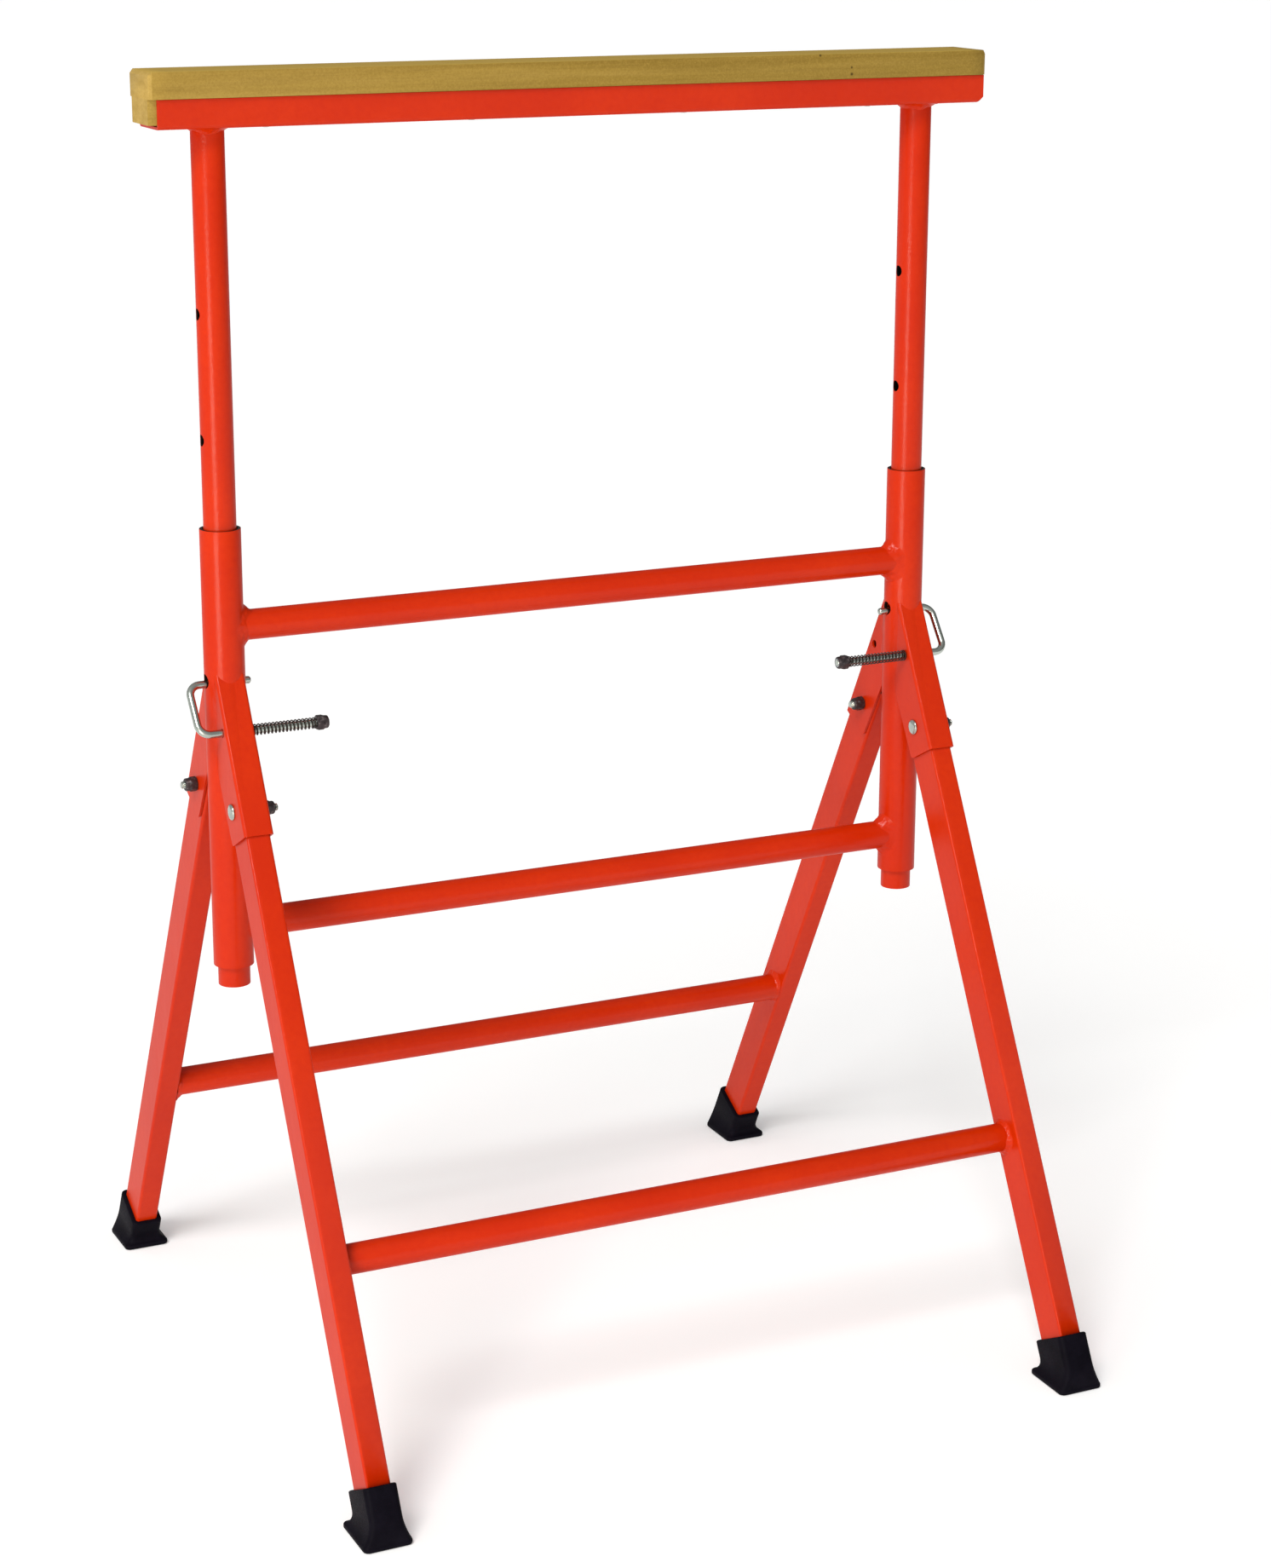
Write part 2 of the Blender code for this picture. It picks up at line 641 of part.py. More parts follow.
def timber_bar(slide):
    """A rebated hardwood bar: its tongue fills the channel, its top overhangs the flanges."""
    ledge = CHANNEL_HEIGHT + GAP
    floor = CHANNEL_SHEET + GAP
    top = BEAM_TOP - BEAM_BOTTOM
    half = CHANNEL_WIDTH / 2 - CHANNEL_SHEET - GAP
    ease = CHANNEL_BEND - CHANNEL_SHEET             # clears the channel's inner bends
    inside = ledge + TIMBER_CHAMFER
    timber = block("timber", (TIMBER_LENGTH, TIMBER_WIDTH, top - ledge),
                   (0, 0, (top + ledge) / 2))
    worn = timber.data.attributes.new("bevel_weight_edge", "FLOAT", "EDGE")
    for edge in timber.data.edges:
        a, b = (timber.data.vertices[v].co for v in edge.vertices)
        worn.data[edge.index].value = 1.0 if max(a.z, b.z) > ledge + GAP else 0.0
    bevel = timber.modifiers.new("worn edges", "BEVEL")
    bevel.limit_method = "WEIGHT"
    bevel.width = TIMBER_CHAMFER
    bevel.segments = 2
    timber = as_mesh(timber)
    outline = [(-half, floor + ease), (-half + ease, floor), (half - ease, floor),
               (half, floor + ease), (half, inside), (-half, inside)]
    reach = TIMBER_LENGTH / 2 - GAP
    tongue = turn_mesh(prism("tongue", [outline], -reach, reach), STAND_ALONG_X)
    for obj in (timber, tongue):
        obj.location = (0, 0, BEAM_BOTTOM - PIN_Z)
    as_cutter(tongue, slide)
    boolean(timber, tongue, "UNION")
    for number, x in enumerate(SCREW_X, 1):
        drill = rod("pilot_%d" % number, SCREW_SHANK_R + GAP, -OVERRUN, SCREW_DEPTH + GAP)
        drill.location = (x, 0, BEAM_BOTTOM - PIN_Z)
        as_cutter(drill, slide)
        boolean(timber, drill)
    return finish(timber, "timber_bar", WOOD, slide)


def timber_screw(number, x, slide):
    """A pan-head wood screw driven up through the channel's web."""
    crown = -GAP - SCREW_HEAD_HEIGHT
    profile = [(0, SCREW_DEPTH), (SCREW_SHANK_R, SCREW_DEPTH - SCREW_POINT),
               (SCREW_SHANK_R, -GAP), (SCREW_HEAD_R, -GAP), (SCREW_HEAD_R, (crown - GAP) / 2),
               (SCREW_HEAD_R * SCREW_CROWN, crown), (0, crown)]
    screw = turned("screw", profile, SMALL_ROUND)
    screw.location = (x, 0, BEAM_BOTTOM - PIN_Z)
    smooth(screw)
    return finish(screw, "timber_screw_%d" % number, ZINC_PLATE, slide)


# ---- locking pins ------------------------------------------------------------------

def pin_path(side):
    """A pin's centre line, from its tip round the U to its threaded end.

    The origin is where the upper prong crosses the tube's centre.
    """
    drop = Vector((0, -PRONG_Y, PRONG_Z - PIN_Z))
    down = drop.normalized()
    out = Vector((side, 0, 0))
    end_x = SOCKET_WIDTH / 2 + SPRING_LENGTH + GAP + NUT_HEIGHT + NUT_COLLAR
    path = [-out * PIN_TIP]
    turns = [math.pi / 2 * i / ELBOW_STEPS for i in range(ELBOW_STEPS + 1)]
    for a in turns:
        path.append(out * (PIN_REACH - PIN_BEND + PIN_BEND * math.sin(a))
                    + down * PIN_BEND * (1 - math.cos(a)))
    for a in turns:
        path.append(out * (PIN_REACH - PIN_BEND + PIN_BEND * math.cos(a))
                    + drop + down * PIN_BEND * (math.sin(a) - 1))
    path.append(drop - out * (end_x + PIN_THREAD))
    return path


def locking_pin(side):
    label = SIDE_NAME[side]
    pull = empty(label + "_pin_pull", (side * (TUBE_X - PIN_INWARD[side]), 0, PIN_Z))
    pin = bent_rod("pin", pin_path(side), PIN_R, PIN_RESOLUTION)
    smooth(pin)
    finish(pin, "locking_pin_" + label, ZINC_PLATE, pull)
    prong = (-side * (SOCKET_WIDTH / 2 + SPRING_LENGTH + GAP), -PRONG_Y, PRONG_Z - PIN_Z)
    lock_nut("pin_nut_" + label, pull, prong, -side)


def pin_spring(side):
    """A compression spring on the lower prong, between the socket and the nut."""
    start = SOCKET_WIDTH / 2 + SPRING_WIRE_R + GAP
    travel = SPRING_LENGTH + PIN_INWARD[side] - 2 * (SPRING_WIRE_R + GAP)
    path = []
    for i in range(SPRING_TURNS * SPRING_ROUND + 1):
        turn = 2 * math.pi * i / SPRING_ROUND
        along = start + travel * i / (SPRING_TURNS * SPRING_ROUND)
        path.append((-side * along, SPRING_R * math.cos(turn), SPRING_R * math.sin(turn)))
    spring = bent_rod("spring", path, SPRING_WIRE_R, 0)
    spring.location = (side * TUBE_X, -PRONG_Y, PRONG_Z)
    smooth(spring, SPRING_SHARP_ANGLE)
    return finish(spring, "pin_spring_" + SIDE_NAME[side], ZINC_PLATE)


# ---- assembly ----------------------------------------------------------------------

for side in (LEFT, RIGHT):
    outer_tube(side)
frame_rail("frame_rail_upper", UPPER_RAIL_Z)
frame_rail("frame_rail_lower", LOWER_RAIL_Z)

for end in (FRONT, REAR):
    fixed = leg_axes(END_NAME[end] + "_socket_axes", end)
    hinge = leg_axes(END_NAME[end] + "_leg_fold", end)
    for side in (LEFT, RIGHT):
        leg_socket(side, end, fixed)
        pivot_bolt(side, end, fixed)
        leg(side, end, hinge)
        foot(side, end, hinge)
    leg_rail(end, hinge)

height = empty("height_slide", (0, 0, PIN_Z))
for side in (LEFT, RIGHT):
    inner_tube(side, height)
beam_channel(height)
timber_bar(height)
for number, x in enumerate(SCREW_X, 1):
    timber_screw(number, x, height)

for side in (LEFT, RIGHT):
    locking_pin(side)
    pin_spring(side)
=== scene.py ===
import json
import math

import bmesh
import bpy
from mathutils import Matrix, Vector, noise


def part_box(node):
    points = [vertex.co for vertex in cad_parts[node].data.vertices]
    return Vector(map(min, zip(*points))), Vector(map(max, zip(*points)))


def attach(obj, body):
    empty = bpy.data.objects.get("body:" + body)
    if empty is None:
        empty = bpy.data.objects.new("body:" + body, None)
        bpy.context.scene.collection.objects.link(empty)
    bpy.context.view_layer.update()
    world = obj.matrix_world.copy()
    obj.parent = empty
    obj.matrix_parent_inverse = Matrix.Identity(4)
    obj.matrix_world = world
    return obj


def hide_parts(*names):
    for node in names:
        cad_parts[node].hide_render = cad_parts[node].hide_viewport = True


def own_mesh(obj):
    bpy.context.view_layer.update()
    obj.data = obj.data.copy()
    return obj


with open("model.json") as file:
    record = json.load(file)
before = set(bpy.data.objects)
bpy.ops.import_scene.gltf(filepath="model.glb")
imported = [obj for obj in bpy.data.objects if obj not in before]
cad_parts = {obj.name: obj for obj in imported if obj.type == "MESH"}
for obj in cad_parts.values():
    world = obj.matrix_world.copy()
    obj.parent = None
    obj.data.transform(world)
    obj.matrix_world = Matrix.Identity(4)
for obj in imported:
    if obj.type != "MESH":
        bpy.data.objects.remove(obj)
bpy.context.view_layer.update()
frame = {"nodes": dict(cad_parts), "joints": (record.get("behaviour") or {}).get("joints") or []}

LEFT, RIGHT = -1, 1
FRONT, REAR = -1, 1
SIDE_NAME = {LEFT: "left", RIGHT: "right"}
END_NAME = {FRONT: "front", REAR: "rear"}


def label(side, end):
    """Which of the four legs, as the pieces' names say it."""
    return END_NAME[end] + "_" + SIDE_NAME[side]


# ---- places and sizes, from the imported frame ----

def middle(node):
    low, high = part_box(node)
    return (low + high) / 2


def half(node):
    low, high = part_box(node)
    return (high - low) / 2


PIN_R = 0.004

TUBE_X = middle("outer_tube_right").x
OUTER_R = half("outer_tube_right").x
OUTER_BOTTOM, OUTER_TOP = (corner.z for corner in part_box("outer_tube_right"))
INNER_R = half("inner_tube_right").x
INNER_BOTTOM, INNER_TOP = (corner.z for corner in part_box("inner_tube_right"))
RAIL_R = half("frame_rail_upper").z
CHANNEL_LOW, CHANNEL_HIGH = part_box("beam_channel")
TIMBER_LOW, TIMBER_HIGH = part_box("timber_bar")
PIN_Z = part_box("locking_pin_right")[1].z - PIN_R

JOINTS = {joint["name"]: joint for joint in frame["joints"]}
PIVOT_Y = JOINTS["rear_leg_fold"]["pos_m"][1]
PIVOT_Z = JOINTS["rear_leg_fold"]["pos_m"][2]
SPLAY = math.radians(JOINTS["rear_leg_fold"]["range_deg"][1])


# ---- sizes that the boxes don't show, in metres ----

OUTER_WALL = 0.0032
INNER_WALL = 0.0018
RAIL_WALL = 0.002
RAIL_SINK = 0.0002  # of its ends into the outer tubes, under the welds
HOLE_PITCH = 0.1265
HOLES_ABOVE = 3
HOLES_BELOW = 2
INNER_HOLE_R = 0.006
INNER_HOLE_RISE = {LEFT: -0.0009, RIGHT: 0.0015}  # above the upper prong's middle
OUTER_HOLE_R = 0.0075
OUTER_HOLE_RISE = 0.0032

# A leg frame's own axes start at its pivots: Z points up its legs, and -Y outward.
LEG_WIDTH = 0.0255
LEG_DEPTH = 0.046
LEG_WALL = 0.002
LEG_CORNER = 0.0034
LEG_LENGTH = PIVOT_Z / math.cos(SPLAY)  # from the pivot to the floor
LEG_END = 0.019  # from the floor to its lower end
LEG_TOP = 0.033
LEG_RAIL_DROP = 0.4665
LEG_RAIL_INSET = 0.007

SHEET = 0.0025
SOCKET_WIDTH = 0.0315
SOCKET_BEND = 0.0035
SOCKET_FACE = LEG_DEPTH / 2 + 0.0005 + SHEET
# Its ends below and above the pivot. The flanges reach DEPTH past the leg's middle at
# DEEPEST up, TAPER less than that at the bottom, and TOP_DEPTH at the top.
SOCKET_BELOW = 0.032
SOCKET_ABOVE = 0.138
SOCKET_DEPTH = 0.024
SOCKET_DEEPEST = 0.059
SOCKET_TAPER = 0.004
SOCKET_TOP_DEPTH = -0.020
SOCKET_CORNER = 0.004
SOCKET_BLANK = 0.062  # its flanges, before they are trimmed

BOLT_R = 0.004
BOLT_HOLE_R = 0.0043
BOLT_HEAD_R = 0.0085
BOLT_HEAD_HEIGHT = 0.0036
BOLT_TIP = 0.0035
NUT_FLATS = 0.0141
NUT_HEIGHT = 0.0085
NUT_COLLAR = 0.0045
NUT_COLLAR_R = 0.0069
THREAD_PITCH = 0.00125
THREAD_DEPTH = 0.495 * THREAD_PITCH
# Its end's chamfer, along the axis and across it.
THREAD_POINT = 0.0007
THREAD_NARROWING = 0.0006

PIN_HOLE_R = 0.0046
PRONG_Y = 0.0345
PRONG_Z = 0.7335
REAR_HOLE_DROP = 0.002
PIN_BEND = 0.012
PIN_REACH = 0.0395
PIN_TIP = 0.0280
PIN_THREAD = 0.0003  # past the nut
PIN_INWARD = {LEFT: 0.0, RIGHT: 0.0037}  # how far further in it rests
SPRING_LENGTH = 0.0695
SPRING_TURNS = 16  # and a dead turn at each end
SPRING_R = 0.0054
SPRING_WIRE_R = 0.0007

CHANNEL_SHEET = 0.003
CHANNEL_BEND = 0.004
CHANNEL_SNIP = 0.006
TIMBER_CHAMFER = 0.004
TIMBER_EDGE = 0.0004
TIMBER_ARRIS = 0.0011
# Dark marks in the timber's front face: how far from its right end and top, and how big.
TIMBER_MARKS = ((0.1657, 0.0143, 0.0016), (0.1655, 0.0213, 0.0022), (0.2038, 0.0011, 0.0018))

FOOT_HALF_X = 0.026
FOOT_HALF_Y = 0.0325
FOOT_SHIFT = -0.0113
FOOT_PAD = 0.005
FOOT_WALL = 0.005
FOOT_TOP = 0.053
FOOT_CORNER = 0.006
# Where the flare meets the socket, up the leg, and how much that slopes outward.
FOOT_FLARE = 0.028
FOOT_FLARE_TILT = 0.27
FOOT_KNEE = 0.014
FOOT_KNEE_TILT = 0.22

BEAM_WELD = 0.0070
FRAME_RAIL_WELD = 0.0066
LEG_RAIL_WELD = 0.0048
SOCKET_WELD = 0.0035
SOCKET_WELD_LOW, SOCKET_WELD_HIGH = 0.705, 0.780
# How uneven the welds are: by how much of their size, and how closely, per metre.
LUMP, LUMP_SCALE = 0.60, 80
LEAN, LEAN_SCALE = 0.40, 55
DENT, DENT_SCALE = 0.12, 260

GAP = 0.0003
OVERRUN = 0.01
CUTTER_REACH = 0.05
EDGE = 0.0004  # rounding of cut metal edges

TUBE_STEPS = 96
RAIL_STEPS = 72
OUTER_HOLE_STEPS = 48
INNER_HOLE_STEPS = 40
BOLT_STEPS = 32
HEAD_STEPS = 48
NUT_STEPS = 72
THREAD_STEPS = 24
WELD_STEPS = 144
STRAIGHT_WELD_STEPS = 60
CORNER_STEPS = 6
BEND_STEPS = 7
LEG_TOP_STEPS = 20
SHARP_ANGLE = 38  # degrees


# ---- camera, light and floor ----

# Yaw, downward pitch and roll, in degrees.
CAMERA_TURN = (25.464, 16.069, 0.195)
CAMERA_PLACE = (-1.4188, -3.1208, 1.6081)
CAMERA_LENS = 75.03
FLOOR_REACH = 60
# The world's light fades across X and Y, by these weights, from bright to dim.
WORLD_X, WORLD_Y = 0.92, 0.40
WORLD_BRIGHT, WORLD_DIM, WORLD_STRENGTH = 1.40, 0.20, 0.55


def add_object(name, data):
    obj = bpy.data.objects.new(name, data)
    bpy.context.scene.collection.objects.link(obj)
    return obj


def aim(obj, place, target):
    obj.location = place
    toward = Vector(target) - Vector(place)
    obj.rotation_euler = toward.to_track_quat("-Z", "Y").to_euler()


def add_camera():
    """The camera stands to the front left, a little above the top, as tall as the frame."""
    data = bpy.data.cameras.new("camera")
    data.sensor_fit = "VERTICAL"
    data.sensor_height = 36.0
    data.lens = CAMERA_LENS
    data.clip_end = 100
    camera = add_object("camera", data)
    yaw, pitch, roll = (math.radians(a) for a in CAMERA_TURN)
    ahead = Vector((math.sin(yaw) * math.cos(pitch), math.cos(yaw) * math.cos(pitch),
                    -math.sin(pitch)))
    level = Vector((math.cos(yaw), -math.sin(yaw), 0))
    upright = level.cross(ahead)
    right = level * math.cos(roll) + upright * math.sin(roll)
    up = upright * math.cos(roll) - level * math.sin(roll)
    turn = Matrix((right, up, -ahead)).transposed()
    camera.matrix_world = Matrix.Translation(CAMERA_PLACE) @ turn.to_4x4()
    bpy.context.scene.camera = camera


def add_sun(name, place, strength, spread):
    data = bpy.data.lights.new(name, "SUN")
    data.energy = strength
    data.angle = math.radians(spread)
    aim(add_object(name, data), place, (0, 0, 0))


def add_softbox(name, place, target, size, power, colour):
    data = bpy.data.lights.new(name, "AREA")
    data.shape = "RECTANGLE"
    data.size, data.size_y = size
    data.energy = power
    data.color = colour
    lamp = add_object(name, data)
    aim(lamp, place, target)
    lamp.visible_camera = False


def add_world():
    """Soft light from all round, strongest from the front left."""
    world = bpy.data.worlds.new("studio")
    bpy.context.scene.world = world
    world.use_nodes = True
    tree = Nodes(world.node_tree)
    background = next(n for n in world.node_tree.nodes if n.type == "BACKGROUND")
    where = tree.add("ShaderNodeTexCoord")
    split = tree.add("ShaderNodeSeparateXYZ", Vector=where.outputs["Generated"])
    across = tree.maths("MULTIPLY", split.outputs["X"], WORLD_X)
    along = tree.maths("MULTIPLY", split.outputs["Y"], WORLD_Y)
    light = tree.range(tree.maths("ADD", across, along), WORLD_BRIGHT, WORLD_DIM, -1.0, 1.0)
    grey = tree.add("ShaderNodeCombineColor", Red=light, Green=light, Blue=light)
    tree.link(grey.outputs[0], background.inputs["Color"])
    background.inputs["Strength"].default_value = WORLD_STRENGTH


def add_floor():
    mesh = bpy.data.meshes.new("floor")
    corners = [(x * FLOOR_REACH, y * FLOOR_REACH, 0)
               for x, y in ((-1, -1), (1, -1), (1, 1), (-1, 1))]
    mesh.from_pydata(corners, [], [(0, 1, 2, 3)])
    floor = add_object("floor", mesh)
    floor.location.z = -0.0004  # just clear of the feet
    look = bpy.data.materials.new("floor")
    look.use_nodes = True
    shader = look.node_tree.nodes["Principled BSDF"]
    shader.inputs["Base Color"].default_value = (0.92, 0.92, 0.915, 1)
    shader.inputs["Emission Color"].default_value = (1, 1, 1, 1)
    shader.inputs["Emission Strength"].default_value = 0.24
    shader.inputs["Roughness"].default_value = 0.9
    shader.inputs["Specular IOR Level"].default_value = 0.1
    mesh.materials.append(look)


# ---- materials ----

class Nodes:
    """Short forms for building a node tree."""

    def __init__(self, tree):
        self.tree = tree

    def link(self, output, socket):
        self.tree.links.new(output, socket)

    def add(self, kind, **inputs):
        node = self.tree.nodes.new(kind)
        for name, value in inputs.items():
            self.set(node, name.replace("_", " "), value)
        return node

    def set(self, node, name, value):
        socket = node.inputs[name]
        if isinstance(value, bpy.types.NodeSocket):
            self.link(value, socket)
        else:
            socket.default_value = value

    def maths(self, kind, a, b=0.0):
        node = self.tree.nodes.new("ShaderNodeMath")
        node.operation = kind
        self.set(node, 0, a)
        self.set(node, 1, b)
        return node.outputs[0]

    def distance(self, vector, centre):
        node = self.tree.nodes.new("ShaderNodeVectorMath")
        node.operation = "DISTANCE"
        self.set(node, 0, vector)
        self.set(node, 1, centre)
        return node.outputs["Value"]

    def noise(self, vector, scale, detail=2.0, roughness=0.5):
        return self.add("ShaderNodeTexNoise", Vector=vector, Scale=scale, Detail=detail,
                        Roughness=roughness).outputs["Fac"]

    def stretched(self, vector, scale):
        return self.add("ShaderNodeMapping", Vector=vector, Scale=scale).outputs["Vector"]

    def ramp(self, value, *stops):
        """A colour ramp from (position, colour) stops."""
        node = self.add("ShaderNodeValToRGB", Fac=value)
        while len(node.color_ramp.elements) < len(stops):
            node.color_ramp.elements.new(0.5)
        for element, (position, colour) in zip(node.color_ramp.elements, stops):
            element.position = position
            element.color = (*colour, 1)
        return node.outputs["Color"]

    def range(self, value, low, high, start=0.0, end=1.0):
        """From low, where value is start, steadily to high, where it is end."""
        node = self.add("ShaderNodeMapRange", Value=value)
        for name, number in (("From Min", start), ("From Max", end),
                             ("To Min", low), ("To Max", high)):
            node.inputs[name].default_value = number
        return node.outputs["Result"]

    def blend(self, factor, a, b):
        """A colour between a and b; each of the three is a socket or a plain value."""
        node = self.tree.nodes.new("ShaderNodeMix")
        node.data_type = "RGBA"
        for index, value in ((0, factor), (6, a), (7, b)):
            self.set(node, index, (*value, 1) if isinstance(value, tuple) else value)
        return node.outputs[2]

    def tinted(self, colour, tint, value, most, start, end):
        """colour turned towards tint, by up to most, as value goes from start to end."""
        return self.blend(self.range(value, 0.0, most, start, end), colour, tint)

    def bump(self, height, distance, strength, after=None):
        node = self.add("ShaderNodeBump", Height=height, Distance=distance,
                        Strength=strength)
        if after is not None:
            self.link(after, node.inputs["Normal"])
        return node.outputs["Normal"]


def new_look(name):
    look = bpy.data.materials.new(name)
    look.use_nodes = True
    tree = Nodes(look.node_tree)
    shader = look.node_tree.nodes["Principled BSDF"]
    place = tree.add("ShaderNodeTexCoord").outputs["Object"]
    return look, tree, shader, place


def paint(name, runs, bore=None):
    """Thick orange-red enamel with an orange-peel surface.

    runs is the way that it sagged while wet, as a scale. An upright tube's steel is bare
    from its bore radius inward, and is painted near-black there: painted shade, as in its holes.
    """
    look, tree, shader, place = new_look(name)
    cloudy = tree.noise(place, 9.0, 3.0)
    fine = tree.noise(place, 160.0, 2.0)
    colour = tree.ramp(cloudy, (0.20, (0.51, 0.018, 0.0004)), (0.80, (0.59, 0.028, 0.0004)))
    colour = tree.tinted(colour, (0.48, 0.014, 0.0004), fine, 0.5, 0.35, 0.95)
    if bore is not None:
        split = tree.add("ShaderNodeSeparateXYZ", Vector=place)
        x = tree.maths("SUBTRACT", tree.maths("ABSOLUTE", split.outputs["X"]), TUBE_X)
        y = split.outputs["Y"]
        radius = tree.maths("SQRT", tree.maths(
            "ADD", tree.maths("MULTIPLY", x, x), tree.maths("MULTIPLY", y, y)))
        # Painted shade: the bare steel inside the bore, hole walls too, is made near-black, as
        # dark as the shade inside the holes.
        colour = tree.tinted(colour, (0.020, 0.010, 0.009), radius, 1.0, bore, bore - 0.0001)
    tree.set(shader, "Base Color", colour)
    shader.inputs["Roughness"].default_value = 0.35
    shader.inputs["Specular IOR Level"].default_value = 0.05
    shader.inputs["Coat Weight"].default_value = 0.065
    shader.inputs["Coat IOR"].default_value = 2.5
    tree.set(shader, "Coat Roughness", tree.range(tree.noise(place, 60.0), 0.08, 0.20,
                                                  0.2, 0.8))
    peel = tree.noise(place, 520.0, 2.0)
    sags = tree.noise(tree.stretched(place, runs), 1.0, 2.0)
    sagged = tree.bump(sags, 0.0012, 0.35)
    tree.set(shader, "Normal", tree.bump(peel, 0.00010, 0.5, sagged))
    tree.set(shader, "Coat Normal", tree.bump(peel, 0.00030, 1.0, sagged))
    return look


def zinc(name, base, low, high):
    """Zinc plate with a faint green-yellow passivation and fine scuffs."""
    look, tree, shader, place = new_look(name)
    tint = tree.noise(place, 55.0, 3.0)
    tree.set(shader, "Base Color", tree.ramp(
        tint, (0.35, tuple(c * 0.82 for c in base)), (0.65, base)))
    tree.set(shader, "Roughness", tree.range(tree.noise(place, 320.0, 3.0), low, high,
                                             0.3, 0.7))
    shader.inputs["Metallic"].default_value = 1.0
    tree.set(shader, "Normal", tree.bump(tree.noise(place, 700.0, 2.0), 0.00005, 0.5))
    return look


def blackened(name):
    """Blackened steel of the lock nuts: brown-black, with rubbed edges and dull patches."""
    look, tree, shader, place = new_look(name)
    worn = tree.noise(place, 240.0, 4.0, 0.6)
    tree.set(shader, "Base Color", tree.ramp(
        worn, (0.35, (0.030, 0.022, 0.024)), (0.58, (0.055, 0.042, 0.045)),
        (0.72, (0.16, 0.14, 0.14))))
    tree.set(shader, "Roughness", tree.range(worn, 0.32, 0.55, 0.3, 0.7))
    shader.inputs["Metallic"].default_value = 0.55
    tree.set(shader, "Normal", tree.bump(worn, 0.00008, 0.5))
    return look


def nylon(name):
    """Blue-grey nylon of a lock nut's ring, its colour a little uneven."""
    look, tree, shader, place = new_look(name)
    mottle = tree.noise(place, 500.0, 2.0)
    tree.set(shader, "Base Color", tree.ramp(
        mottle, (0.30, (0.28, 0.33, 0.38)), (0.70, (0.44, 0.50, 0.55))))
    shader.inputs["Roughness"].default_value = 0.4
    return look


def timber_look(name):
    """Ochre hardwood: long grain along X, pores, three dark marks, and plainer sawn ends.

    It is darker towards its right end; its top is a painted highlight, lighter and yellower.
    """
    look, tree, shader, place = new_look(name)
    long_grain = tree.noise(tree.stretched(place, (2.2, 60.0, 75.0)), 1.0, 4.0, 0.6)
    streaks = tree.noise(tree.stretched(place, (9.0, 260.0, 340.0)), 1.0, 3.0, 0.6)
    cloudy = tree.noise(tree.stretched(place, (4.0, 14.0, 14.0)), 1.0, 2.0)
    colour = tree.ramp(long_grain, (0.25, (0.24, 0.145, 0.020)), (0.50, (0.33, 0.210, 0.036)),
                       (0.75, (0.40, 0.262, 0.056)))
    colour = tree.tinted(colour, (0.16, 0.088, 0.014), streaks, 0.35, 0.45, 0.80)
    colour = tree.tinted(colour, (0.42, 0.28, 0.075), cloudy, 0.35, 0.30, 0.80)
    along = tree.add("ShaderNodeSeparateXYZ", Vector=place).outputs["X"]
    normal = tree.add("ShaderNodeTexCoord").outputs["Normal"]
    facing = tree.add("ShaderNodeSeparateXYZ", Vector=normal)
    colour = tree.tinted(colour, (0.12, 0.075, 0.006), along, 0.34, TIMBER_LOW.x,
                         TIMBER_HIGH.x)
    # Painted highlight: faces that turn upward are lightened towards bright yellow, as if lit
    # from above.
    colour = tree.tinted(colour, (0.85, 0.58, 0.12), facing.outputs["Z"], 0.30, 0.5, 0.9)
    sawn = tree.range(tree.maths("ABSOLUTE", facing.outputs["X"]), 0.0, 1.0, 0.4, 0.8)
    rings = tree.noise(tree.stretched(place, (8.0, 60.0, 150.0)), 1.0, 3.0, 0.6)
    end_grain = tree.ramp(rings, (0.25, (0.36, 0.230, 0.050)), (0.75, (0.49, 0.33, 0.092)))
    colour = tree.blend(sawn, colour, end_grain)
    specks = tree.noise(place, 480.0, 3.0, 0.7)
    colour = tree.tinted(colour, (0.17, 0.100, 0.008), specks, 0.36, 0.50, 0.80)
    colour = tree.tinted(colour, (0.50, 0.33, 0.070), specks, 0.28, 0.50, 0.25)
    for inward, down, radius in TIMBER_MARKS:
        centre = (TIMBER_HIGH.x - inward, TIMBER_LOW.y, TIMBER_HIGH.z - down)
        colour = tree.tinted(colour, (0.040, 0.020, 0.006), tree.distance(place, centre),
                             0.8, radius, radius * 0.4)
    tree.set(shader, "Base Color", colour)
    tree.set(shader, "Roughness", tree.range(long_grain, 0.60, 0.78, 0.2, 0.8))
    shader.inputs["Specular IOR Level"].default_value = 0.12
    grain = tree.bump(streaks, 0.0005, 0.5)
    tree.set(shader, "Normal", tree.bump(specks, 0.0001, 0.4, grain))
    return look


def rubber(name):
    """Moulded black rubber with a fine texture and a little dust on it."""
    look, tree, shader, place = new_look(name)
    dust = tree.noise(place, 45.0, 5.0, 0.65)
    grit = tree.noise(place, 900.0, 2.0, 0.6)
    colour = tree.ramp(dust, (0.30, (0.0020, 0.0014, 0.0036)), (0.80, (0.0060, 0.0048, 0.0095)))
    colour = tree.tinted(colour, (0.016, 0.014, 0.022), grit, 0.4, 0.62, 0.85)
    tree.set(shader, "Base Color", colour)
    tree.set(shader, "Roughness", tree.range(grit, 0.48, 0.70, 0.3, 0.7))
    shader.inputs["Specular IOR Level"].default_value = 0.05
    tree.set(shader, "Normal", tree.bump(grit, 0.00025, 0.5))
    return look


# ---- mesh helpers ----

def as_object(name, shape, place=None):
    """A mesh object from a bmesh, its faces turned outward."""
    bmesh.ops.recalc_face_normals(shape, faces=shape.faces)
    mesh = bpy.data.meshes.new(name)
    shape.to_mesh(mesh)
    shape.free()
    if place is not None:
        mesh.transform(place)
    return add_object(name, mesh)


